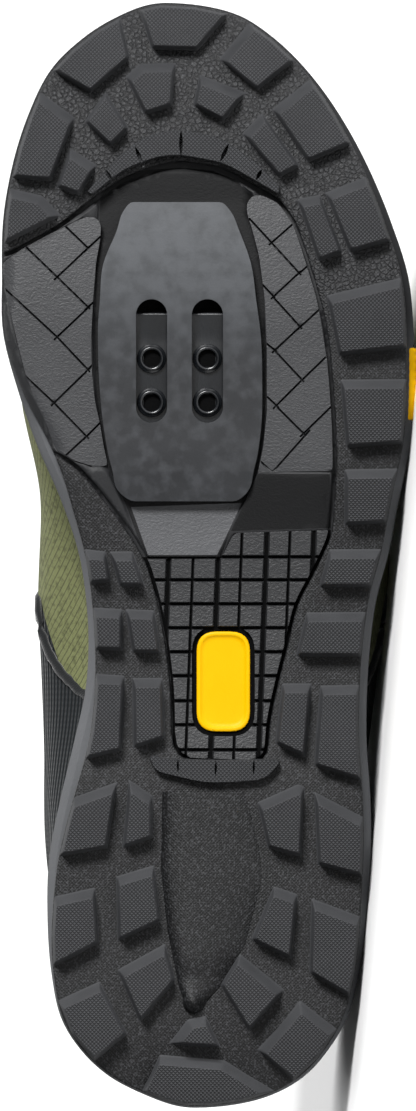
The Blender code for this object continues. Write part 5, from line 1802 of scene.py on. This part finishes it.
def add_lathe(bm, centre, axis, along, profile, sides=32):
    """A ring of revolution round an axis, through points of radius and height."""
    cross = axis.cross(along)
    rows = []
    for radius, height in profile:
        row = []
        for turn in turns(sides):
            spoke = along * (radius * math.cos(turn)) + cross * (radius * math.sin(turn))
            row.append(bm.verts.new(centre + spoke + axis * height))
        rows.append(row)
    join(bm, rows)


def make_nut():
    """The plate behind the slots: a hollow trough and four threaded bosses."""
    middle = NUT_SHARE * LENGTH
    span = middle + np.linspace(-NUT_LENGTH / 2, NUT_LENGTH / 2, 9)
    low = float(plate_z(span).max()) + CLEAR
    high = float(shell_z(span).min())
    bm = bmesh.new()
    lines = np.linspace(-NUT_WIDTH / 2, NUT_WIDTH / 2, 13)
    rows = []
    bolts = BOLT_STEP * 0.55
    for x in np.linspace(-NUT_LENGTH / 2, NUT_LENGTH / 2, 41):
        front = np.clip((x - bolts) / (NUT_LENGTH / 2 - bolts), 0, 1)
        dip = 0.0005 * math.sin(math.pi * front) ** 2 - 0.0003 * front ** 6
        rows.append([(middle + x, CLEAT_ACROSS + y, low + NUT_HOLLOW + dip) for y in lines])
    add_slab(bm, rows, [[(x, y, high) for x, y, _ in row] for row in rows])
    down = Vector((0, 0, -1))
    for row in (-1, 1):
        for side in (-1, 1):
            centre = Vector((middle + row * BOLT_STEP / 2, CLEAT_ACROSS + side * BOLT_PITCH / 2, low))
            profile = list(BOSS_PROFILE)
            for turn in range(THREAD_TURNS):
                deep = turn * THREAD_PITCH
                profile += [(0.0022, 0.0006 - deep), (0.0024, 0.00035 - deep)]
            profile += [(0.0022, -0.0022), (0.0001, -0.0022)]
            add_lathe(bm, centre, down, Vector((1, 0, 0)), profile)
            # Faces inside the bolt holes take the near-black plastic: painted shade
            for face in bm.faces:
                if (face.calc_center_median().xy - centre.xy).length < HOLE_RADIUS:
                    face.material_index = 1
    nut = finish_piece("cleat_nut_cover", bm, STEEL, PAINTED_SHADE)
    place(nut, "steel", "cleat_nut_plate")


def make_slot_walls():
    """Painted shade: near-black sides of the two slots, from the pad down to the nut plate, and a near-black
    sheet closing them.
    """
    bm = bmesh.new()
    for side in (-1, 1):
        rings = []
        line = slot_line(side, 0.0002)
        for depth in (-0.0010, 0.0008, 0.0014):
            rings.append([bm.verts.new((x, y, float(plate_z(x)) + depth)) for x, y in line])
        join(bm, rings)
        bm.faces.new(rings[-1])
    place(finish_piece("slot_walls", bm, PAINTED_SHADE), "plate")


# Inlays

BADGE_CORNER = 0.0052
SIDE_BAR_LOW = 0.03
SIDE_BAR_HIGH = 0.52
RIB_STEP = 0.0021


def badge_line(extra):
    """The yellow plate's outline, made larger all round."""
    x, y = SOLE_INLAY_SHARE * LENGTH, SOLE_INLAY_ACROSS
    half, side = (SOLE_INLAY_LENGTH + 2 * extra) / 2, (SOLE_INLAY_WIDTH + 2 * extra) / 2
    ways = ((-1, -1), (1, -1), (1, 1), (-1, 1))
    corners = np.array([(x + half * along, y + side * across) for along, across in ways])
    return rounded(corners, BADGE_CORNER + extra, 7)


def make_badge():
    """A plain yellow plate with a raised rim."""
    profile = ((0.0, 0.0020), (0.0, -0.00035), (0.0002, -0.00055), (0.0008, -0.00060), (0.00105, -0.0005),
               (0.0012, -0.00032), (0.0022, -0.00030))
    bm = bmesh.new()
    rows = []
    for inset, z in profile:
        line = badge_line(-inset - 0.0002)
        rows.append([bm.verts.new((x, y, float(plate_z(x)) + z)) for x, y in line])
    join(bm, rows)
    bm.faces.new(rows[-1])
    bm.faces.new(rows[0][::-1])
    place(finish_piece("sole_badge", bm, YELLOW), "yellow", "sole_inlay")


def make_side_bar():
    """A plain ribbed bar let into the midsole's outer side, round its lower edge."""
    middle = SIDE_INLAY_SHARE * LENGTH
    side = Curve(MIDSOLE_SIDE, 1)
    reach = SIDE_INLAY_LENGTH / 2
    shares = np.linspace(SIDE_BAR_LOW, SIDE_BAR_HIGH, 15)
    faces = [Inset(float(side(share)) * RIM) for share in shares]
    bm = bmesh.new()
    grid = []
    for x in np.linspace(-reach, reach, 121):
        end = min(1.0, (reach - abs(x)) / 0.0012)
        rib = 0.5 + 0.5 * math.cos(2 * math.pi * x / RIB_STEP)
        row = []
        for face, share in zip(faces, shares):
            part = 2 * (share - SIDE_BAR_LOW) / (SIDE_BAR_HIGH - SIDE_BAR_LOW) - 1
            edge = (1 - abs(part) ** 6) * math.sqrt(max(0.0, 1 - (1 - end) ** 2))
            y = float(face.across(middle + x, 1)) - 0.0002 + edge * (0.0007 + 0.00022 * rib)
            low = float(shell_z(middle + x)) + CLEAR * 0.3
            high = float(bed_z(middle + x)) + RIM_HEIGHT
            row.append((middle + x, y, low + share * (high - low)))
        grid.append(row)
    add_slab(bm, grid, [[(x, y - SIDE_INLAY_DEPTH, z) for x, y, z in row] for row in grid])
    place(finish_piece("side_badge", bm, YELLOW), "yellow", "side_inlay")


# Midsole

def make_midsole():
    """The cup between the rubber and the upper, with the grooved side of the solid."""
    rows = list(MIDSOLE_SIDE)
    shares = sorted({share for share, _ in rows} | set(np.linspace(0.02, 0.98, 26)))
    side = Curve(MIDSOLE_SIDE, 1)
    rings = []
    for share in shares:
        outline = Inset(float(side(share)) * RIM)

        def height(x, share=share):
            low = shell_z(x) + CLEAR * 0.3
            return low + share * (bed_z(x) + RIM_HEIGHT - low)

        rings.append(outline.ring(height, 130))
    for inset, up in ((RIM * 0.42, 0.0003), (RIM_WALL * 0.75, 0.0003), (RIM_WALL, 0.0)):
        rings.append(Inset(inset).ring(lambda x, up=up: bed_z(x) + RIM_HEIGHT + up, 130))
    rings.append(Inset(RIM_WALL).ring(bed_z, 130))
    bm = bmesh.new()
    made = [[bm.verts.new(point) for point in ring] for ring in rings]
    join(bm, made)
    for ring in (made[0], made[-1]):
        strip_cap(bm, ring)
    midsole = finish_piece("midsole_cup", bm, FOAM)
    pocket = bmesh.new()
    middle = SIDE_INLAY_SHARE * LENGTH
    low = float(shell_z(middle))
    centre = low + SIDE_INLAY_PLACE * (float(bed_z(middle)) + RIM_HEIGHT - low)
    y = float(Inset(0.0).across(middle, 1))
    reach, half = SIDE_INLAY_LENGTH / 2 + CLEAR, SIDE_INLAY_HEIGHT / 2 + CLEAR
    x_line = np.linspace(middle - reach, middle + reach, 7)
    inner = [(x, float(Inset(SIDE_INLAY_DEPTH + SIDE_INLAY_SINK + CLEAR).across(x, 1))) for x in x_line]
    polygon = inner + [(middle + reach, y + 0.01), (middle - reach, y + 0.01)]
    flat_prism(pocket, counter_clockwise(polygon), centre - half, centre + half)
    cut(midsole, helper("side pocket", pocket))
    keep_flats(midsole)
    place(midsole, "foam", "midsole")


# Upper

FINE_SECTIONS = 72
FINE_WALL = (-1.0, -0.72, -0.4, 0.0)
FINE_DOME = (0.09, 0.18, 0.27, 0.36, 0.45, 0.54, 0.63, 0.72, 0.80, 0.87, 0.94, 1.0)
SEAM = (
    (-1.0, 0.362), (-0.6, 0.376), (-0.4, 0.392), (-0.25, 0.410), (-0.1, 0.435), (0.0, 0.458),
    (0.3, 0.476), (1.0, 0.50),
)
# Creases: share of the length, rise, reach along and up, and depth in metres, below zero for a trough
CREASES = (
    (0.745, 0.62, 0.010, 0.45, -0.0012), (0.775, 0.60, 0.008, 0.40, 0.0007),
    (0.705, 0.50, 0.009, 0.35, -0.0009), (0.560, 0.10, 0.012, 0.30, -0.0008),
    (0.500, 0.25, 0.014, 0.35, 0.0007), (0.300, 0.45, 0.012, 0.40, -0.0009),
    (0.235, 0.50, 0.010, 0.35, 0.0006), (0.620, 0.05, 0.014, 0.30, 0.0005),
)


def crease(x, rise):
    """Depth of the creases together at a point of the wall."""
    depth = 0.0
    for share, height, along, up, amount in CREASES:
        apart = ((x - share * LENGTH) / along) ** 2 + ((rise - height) / up) ** 2
        depth += amount * math.exp(-apart)
    return depth


def fine_stations():
    """Positions of the wall's sections, one of them at the front of the throat."""
    x = FEATHER.stations(FINE_SECTIONS)
    x[int(np.argmin(np.abs(x - THROAT_FRONT * LENGTH)))] = THROAT_FRONT * LENGTH
    return x


def seam_share(rise):
    """Where the seam between the two textiles runs, as a share of the length."""
    return float(np.interp(rise, [row[0] for row in SEAM], [row[1] for row in SEAM]))


def make_upper():
    """The hollow upper: one wall from the last's own sections, padded round the collar."""
    x_rows = fine_stations()
    count = len(x_rows)
    part = (x_rows - FEATHER.start) / (FEATHER.end - FEATHER.start)
    hem_x = LASTING_EDGE.start + (LASTING_EDGE.end - LASTING_EDGE.start) * part
    bm = bmesh.new()
    layer = bm.verts.layers.deform.verify()
    cloth = bm.verts.layers.float_vector.new("cloth")
    columns = []
    for i, side in [(i, -1) for i in range(count)] + [(i, 1) for i in range(count - 2, 0, -1)]:
        x, hem = float(x_rows[i]), float(hem_x[i])
        foot = section(x, side)[0]
        top = top_rise(x, side)
        marks = [-1.0, -1.0] + list(FINE_WALL) + [top * place for place in FINE_DOME]
        spots = [Vector((hem, float(LASTING_EDGE.across(hem, side)), float(bed_z(hem)) + CLEAR)),
                 Vector((x, foot[0], foot[1]))]
        spots += [wall_point(x, side, rise) for rise in marks[2:]]
        girth = 0.0
        column = []
        for k, (spot, rise) in enumerate(zip(spots, marks)):
            if k:
                girth += (spot - spots[k - 1]).length
            push = Vector((0, 0, 0))
            if rise > -0.9:
                push = wall_normal(x, side, max(rise, -0.85)) * crease(x, rise)
                if abs(rise) < 0.12:
                    push = Vector((0, side, 0)) * crease(x, rise)
            vert = bm.verts.new(spot + push)
            near_top = min(1.0, max(0.0, (rise / top - 0.5) / 0.39)) if rise > 0 else 0.0
            vert[layer][0] = (WALL + float(PADDING_CURVE(x / LENGTH)) * near_top) / (WALL + COLLAR_PADDING)
            vert[cloth] = (x, girth, seam_share(rise) * LENGTH - x)
            column.append(vert)
        columns.append(column)
    join(bm, columns + columns[:1], closed=False)
    bmesh.ops.remove_doubles(bm, verts=bm.verts[:], dist=1e-5)
    upper = open_sheet("upper_shell", bm, TEXTILE)
    upper.data.materials.append(LINING)
    upper.vertex_groups.new(name="depth")
    shell = thicken(upper, WALL + COLLAR_PADDING)
    shell.vertex_group = "depth"
    shell.material_offset = 1
    shell.material_offset_rim = 1
    smooth = upper.modifiers.new("smooth", "SUBSURF")
    smooth.levels = smooth.render_levels = 2
    upper.data.shade_smooth()
    place(upper, "textile", "upper")


def open_sheet(name, bm, *materials):
    """An object from an open sheet of the upper, with its faces turned away from the foot."""
    bmesh.ops.recalc_face_normals(bm, faces=bm.faces[:])
    bm.normal_update()
    middle = Vector((0.5 * LENGTH, 0.0, 0.04))
    outward = sum(
        face.normal.dot(face.calc_center_median() - middle) * face.calc_area() for face in bm.faces
    )
    if outward < 0:
        bmesh.ops.reverse_faces(bm, faces=bm.faces[:])
    return finish_piece(name, bm, *materials, turned=False)


def thicken(sheet, thickness):
    """Gives an open sheet a wall that grows towards the foot."""
    shell = sheet.modifiers.new("wall", "SOLIDIFY")
    shell.thickness = thickness
    shell.offset = -1
    shell.use_even_offset = True
    return shell


def cover(name, grids, lift, thickness, material):
    """A thin closed sheet over grids of points of the wall, lifted off along its normals."""
    bm = bmesh.new()
    for grid in grids:
        join(bm, [[bm.verts.new(point) for point in row] for row in grid], closed=False)
    bmesh.ops.remove_doubles(bm, verts=bm.verts[:], dist=1e-5)
    made = open_sheet(name, bm, material)
    normals = [vert.normal.copy() for vert in made.data.vertices]
    for vert, normal in zip(made.data.vertices, normals):
        vert.co += normal * lift
    thicken(made, thickness)
    return made


def up_rows(x, side, start, stop, count):
    """Points up the wall at a section, between two places counted in the solid's rows."""
    line = rises(x, side)
    rows = np.interp(np.linspace(start, stop, count), range(len(line)), line)
    return [wall_point(x, side, float(rise)) for rise in rows]


def finish_overlay(obj, slot, node):
    """Round edges for a thin layer over the upper."""
    soften(obj, 0.0003, 2, 50)
    obj.data.shade_smooth()
    place(obj, slot, node)


def make_guard(name, x_rows, tops, slot, node):
    """A guard round a tip of the upper. The tops say how many of the solid's rows it climbs."""
    marks = [(float(x), -1, top) for x, top in zip(x_rows, tops)]
    marks += [(x, 1, top) for x, _, top in marks[-2::-1]]
    grid = [up_rows(x, side, 0.15, top, 12) for x, side, top in marks]
    finish_overlay(cover(name, [grid], CLEAR + OVERLAY_LIFT, OVERLAY_THICKNESS, COUNTER), slot, node)


def make_toe_cap():
    """The guard round the toe, higher towards its tip."""
    back = TOE_CAP_BACK * LENGTH
    x_rows = back + (FEATHER.end - back) * np.sin(np.linspace(0.0, math.pi / 2, 40))
    x_rows[0] += 1e-4
    span = x_rows[-1] - x_rows[0]
    tops = [1.0 + TOE_CAP_ROWS * math.sqrt((x - x_rows[0]) / span) for x in x_rows]
    make_guard("toe_guard", x_rows, tops, "rubber", "toe_cap")


def make_heel_counter():
    """The guard round the heel, higher towards the back."""
    front = COUNTER_FRONT * LENGTH
    x_rows = FEATHER.start + (front - FEATHER.start) * (1 - np.cos(np.linspace(0, math.pi / 2, 40)))
    tops = [1.2 + COUNTER_ROWS * math.sqrt(max(0.0, 1 - x / x_rows[-1])) for x in x_rows]
    make_guard("heel_guard", x_rows[::-1], tops[::-1], "counter", "heel_counter")


def make_eyestay():
    """The reinforced edge of the throat, in one piece round its front."""
    last = len(WALL_ROWS) + len(DOME_ROWS) - 1
    front = THROAT_FRONT * LENGTH
    x_rows = [*np.linspace(EYESTAY_BACK * LENGTH, front, 46), *np.linspace(front, front + 0.012, 8)[1:]]
    grids = [
        [up_rows(float(x), side, last - EYESTAY_ROWS, last, 10) for x in x_rows] for side in (-1, 1)
    ]
    stay = cover("eyestay_cover", grids, CLEAR + OVERLAY_LIFT, OVERLAY_THICKNESS, STAY)
    finish_overlay(stay, "counter", "eyestay")


def make_tongue():
    """A padded tongue."""
    grid = []
    for share in np.linspace(TONGUE_BACK, TONGUE_FRONT, 28):
        x = share * LENGTH
        row = []
        near_end = min(1.0, (share - TONGUE_BACK) / 0.02)
        half = TONGUE_WIDTH / 2 * (1 - 0.25 * (share - TONGUE_BACK) / (TONGUE_FRONT - TONGUE_BACK))
        half *= 0.82 + 0.18 * math.sqrt(near_end)
        for part in np.linspace(-1, 1, 21):
            side = -1 if part < 0 else 1
            rise = rise_at_gap(x, side, abs(part) * half)
            row.append(wall_point(x, side, rise))
        grid.append(row)
    tongue = cover("tongue_pad", [grid], -WALL - TONGUE_CLEARANCE, TONGUE_THICKNESS, TONGUE_CLOTH)
    smooth = tongue.modifiers.new("smooth", "SUBSURF")
    smooth.levels = smooth.render_levels = 1
    tongue.data.shade_smooth()
    place(tongue, "lining", "tongue")


def make_insole():
    """A padded insole with a low hollow."""
    low = CLEAR + WALL + CLEAR
    high = low + INSOLE_THICKNESS
    levels = (
        (0.0, low), (0.0, high - 0.0008), (0.0003, high - 0.0002), (0.0012, high),
        (0.006, high - 0.0004), (0.014, high - 0.0008),
    )
    rings = []
    for inset, up in levels:
        edge = Inset(RIM_WALL + CLEAR + WALL + INSOLE_CLEARANCE + inset)
        rings.append(edge.ring(lambda x, up=up: bed_z(x) + up, 70))
    bm = bmesh.new()
    made = [[bm.verts.new(point) for point in ring] for ring in rings]
    join(bm, made)
    strip_cap(bm, made[0])
    strip_cap(bm, made[-1])
    insole = finish_piece("insole_bed", bm, LINING)
    place(insole, "lining", "insole")


# Lacing

def make_eyelet_rings():
    """Ten steel rings on the eyestay, with rolled edges."""
    bm = bmesh.new()
    for x, across in eyelet_places():
        for side in (-1, 1):
            rise = rise_at_gap(x, side, across)
            axis = wall_normal(x, side, rise)
            along = (Vector((1, 0, 0)) - axis * axis.x).normalized()
            profile = [(EYELET_RADIUS, STAY_TOP), (EYELET_RADIUS, EYELET_TOP - 0.0004),
                       (EYELET_RADIUS - 0.0004, EYELET_TOP), (EYELET_HOLE + 0.0005, EYELET_TOP + 0.0001),
                       (EYELET_HOLE + 0.0001, EYELET_TOP - 0.0003), (EYELET_HOLE, STAY_TOP - 0.0006)]
            add_lathe(bm, wall_point(x, side, rise), axis, along, profile, 24)
    rings = finish_piece("eyelet_rings", bm, STEEL)
    names = [f"eyelet_{side}_{row}" for side in ("inner", "outer") for row in range(1, LACE_ROWS + 1)]
    place(rings, "steel", *names)


def lace_route():
    """The lace from the inner top eyelet down to the front and back up to the outer one."""
    places = eyelet_places()
    stops = []
    for index, (x, across) in enumerate(places[::-1]):
        side = -1 if index % 2 == 0 else 1
        stops.append((x, side * across, 0))
    front_side = -1 if (LACE_ROWS - 1) % 2 == 0 else 1
    for index, (x, across) in enumerate(places):
        side = -front_side if index % 2 == 0 else front_side
        stops.append((x, side * across, 1))
    points = []
    for k, ((x0, y0, _), (x1, y1, layer)) in enumerate(zip(stops, stops[1:])):
        count = 11
        for i in range(count if k < len(stops) - 2 else count + 1):
            part = i / count
            dip = abs(2 * part - 1) ** 6
            hump = math.sin(math.pi * part) ** 2 * LACE_RADIUS * 2.2 * (layer if x0 != x1 else 0)
            lift = LACE_LIFT + hump - dip * LACE_RADIUS * 0.9
            points.append(over_wall(x0 + (x1 - x0) * part, y0 + (y1 - y0) * part, lift))
    return points


def make_lace():
    """One round lace, threaded from side to side, with both ends at the top eyelets."""
    points = lace_route()
    curve = bpy.data.curves.new("lace", "CURVE")
    curve.dimensions = "3D"
    line = curve.splines.new("NURBS")
    line.points.add(len(points) - 1)
    for spot, point in zip(line.points, points):
        spot.co = (*point, 1.0)
    line.order_u = 3
    line.use_endpoint_u = True
    curve.resolution_u = 4
    curve.bevel_depth = LACE_RADIUS
    curve.bevel_resolution = 4
    curve.use_fill_caps = True
    curve.materials.append(CORD_CLOTH)
    lace = bpy.data.objects.new("lace", curve)
    bpy.context.scene.collection.objects.link(lace)
    place(lace, "lace", "lace_crossings")


# Seams

STITCH = 0.0016
STITCH_GAP = 0.0010
STITCH_RADIUS = 0.00021
SEAM_INSET = 0.28
PIPING_RADIUS = 0.00092


def add_stitch(bm, start, ahead, side):
    """One stitch: a short arched bar with narrow ends."""
    across = side.cross(ahead).normalized()
    rows = []
    for part, size in ((0.0, 0.4), (0.2, 1.0), (0.8, 1.0), (1.0, 0.4)):
        arch = STITCH_RADIUS * (0.9 * math.sin(math.pi * part))
        centre = start + ahead * (STITCH * part) + side * arch
        spokes = [across * math.cos(turn) + side * math.sin(turn) for turn in turns(6)]
        rows.append([bm.verts.new(centre + spoke * STITCH_RADIUS * size) for spoke in spokes])
    join(bm, rows)
    bm.faces.new(rows[0][::-1])
    bm.faces.new(rows[-1])


def add_stitches(bm, line, outward):
    """A row of stitches along a line of points."""
    travelled = 0.0
    for a, b, side in zip(line, line[1:], outward):
        step = (b - a).length
        if step < 1e-6:
            continue
        ahead = (b - a) / step
        while travelled < step:
            if travelled + STITCH < step + 1e-4:
                add_stitch(bm, a + ahead * travelled, ahead, side)
            travelled += STITCH + STITCH_GAP
        travelled -= step


def seam_line(inset_rows, x_list, side, lift):
    """Points and outward directions on the wall, along places counted in the solid's rows."""
    points, outward = [], []
    for x, row in zip(x_list, inset_rows):
        line = rises(x, side)
        rise = float(np.interp(row, range(len(line)), line))
        normal = wall_normal(x, side, rise) if abs(rise) > 0.05 else Vector((0, side, 0))
        points.append(wall_point(x, side, rise) + normal * lift)
        outward.append(normal)
    return points, outward


def make_piping():
    """The rolled edge of the black heel part, from the midsole up to the throat, on both sides."""
    bm = bmesh.new()
    for side in (-1, 1):
        rows, spots = [], []
        for rise in np.linspace(-1.0, 0.80, 46):
            x = seam_share(rise) * LENGTH
            if rise > top_rise(x, side) - 0.02:
                break
            normal = wall_normal(x, side, rise) if abs(rise) > 0.08 else Vector((0, side, 0))
            spots.append((wall_point(x, side, rise), normal))
        for i, (spot, normal) in enumerate(spots):
            ahead = (spots[min(i + 1, len(spots) - 1)][0] - spots[max(i - 1, 0)][0]).normalized()
            across = normal.cross(ahead).normalized()
            ribs = 1 + 0.10 * math.cos(i * 2.4)
            row = []
            for turn in turns(12):
                spoke = across * math.cos(turn) * 1.4 + normal * math.sin(turn)
                row.append(bm.verts.new(spot + spoke * PIPING_RADIUS * ribs))
            rows.append(row)
        join(bm, rows)
        bm.faces.new(rows[0][::-1])
        bm.faces.new(rows[-1])
    place(finish_piece("heel_piping", bm, PIPING), "lining")


def make_seams():
    """Rows of stitches inside the edges of the toe guard, the heel guard and the eyestay."""
    bm = bmesh.new()
    last = len(WALL_ROWS) + len(DOME_ROWS) - 1
    toe, front = TOE_CAP_BACK * LENGTH, COUNTER_FRONT * LENGTH
    toe_x = list(np.linspace(0.845 * LENGTH, FEATHER.end - 0.004, 60))
    toe_rows = [
        1.0 + TOE_CAP_ROWS * math.sqrt((x - toe) / (FEATHER.end - toe)) - SEAM_INSET for x in toe_x
    ]
    heel_x = list(np.linspace(FEATHER.start + 0.003, front - 0.002, 50))
    heel_rows = [1.2 + COUNTER_ROWS * math.sqrt(max(0.0, 1 - x / front)) - SEAM_INSET for x in heel_x]
    stay_x = list(np.linspace(EYESTAY_BACK * LENGTH + 0.002, THROAT_FRONT * LENGTH + 0.008, 60))
    seams = (
        (toe_rows, toe_x), (heel_rows, heel_x),
        ([last - EYESTAY_ROWS + 0.25] * 60, stay_x), ([last - 0.22] * 52, stay_x[:52]),
    )
    for side in (-1, 1):
        for rows, x_list in seams:
            add_stitches(bm, *seam_line(rows, x_list, side, STAY_TOP + 0.0001))
    place(finish_piece("seams", bm, THREAD), "lace")


# Studio: the sky's strength overhead, and soft lamps with the way to each from the shoe, its width
# as an angle in degrees, and its strength

SKY = 0.10
LAMPS = (
    ("key", (0.62, -0.71, 0.35), 18, 7.4),
    ("top", (0.15, 0.60, 1.0), 60, 2.5),
)


def make_sky():
    """Pale round the horizon, behind the shoe from any side, and dim above."""
    world = bpy.data.worlds.new("studio")
    bpy.context.scene.world = world
    world.use_nodes = True
    tree = world.node_tree
    split = tree.nodes.new("ShaderNodeSeparateXYZ")
    tree.links.new(tree.nodes.new("ShaderNodeTexCoord").outputs["Generated"], split.inputs[0])
    height = tree.nodes.new("ShaderNodeMapRange")
    tree.links.new(split.outputs["Z"], height.inputs["Value"])
    for key, value in (("From Min", 0.03), ("From Max", 0.14), ("To Min", 1.0), ("To Max", SKY)):
        height.inputs[key].default_value = value
    sky = tree.nodes["Background"]
    sky.inputs["Color"].default_value = (1.0, 1.0, 1.0, 1.0)
    tree.links.new(height.outputs[0], sky.inputs["Strength"])


def make_studio():
    """A pale floor and soft lamps."""
    bpy.context.scene.view_settings.view_transform = "Standard"
    floor = bmesh.new()
    bmesh.ops.create_grid(floor, x_segments=8, y_segments=8, size=40.0)
    ground = Surface("pale floor", (0.90, 0.90, 0.90), 0.7, Specular_IOR_Level=0.2)
    cloud = ground.noise(3, 3)
    ground.colour_between(cloud, (0.89, 0.89, 0.89), (0.92, 0.92, 0.92))
    plane = finish_piece("floor", floor, ground.material, smooth=False)
    make_sky()
    for name, where, angle, power in LAMPS:
        data = bpy.data.lights.new(name, "SUN")
        data.angle = math.radians(angle)
        data.energy = power
        lamp = bpy.data.objects.new(name, data)
        lamp.rotation_mode = "QUATERNION"
        lamp.rotation_quaternion = (-Vector(where)).to_track_quat("-Z", "Y")
        bpy.context.scene.collection.objects.link(lamp)


def main():
    make_lace()
    make_tread()
    make_low_bar("toe_bumper", BUMPER, BALL_WIDTH, BUMPER_HEIGHT, BUMPER_SIPES, BUMPER_SIPE_WIDTH)
    make_low_bar("heel_crescent", CRESCENT, HEEL_WIDTH, KEEL_HEIGHT, CRESCENT_SIPES, CRESCENT_SIPE_WIDTH)
    make_keel()
    make_rubber_base()
    make_plate()
    make_pad()
    make_nut()
    make_slot_walls()
    make_badge()
    make_side_bar()
    make_midsole()
    make_upper()
    make_toe_cap()
    make_heel_counter()
    make_eyestay()
    make_tongue()
    make_insole()
    make_eyelet_rings()
    make_piping()
    make_seams()
    make_studio()


main()
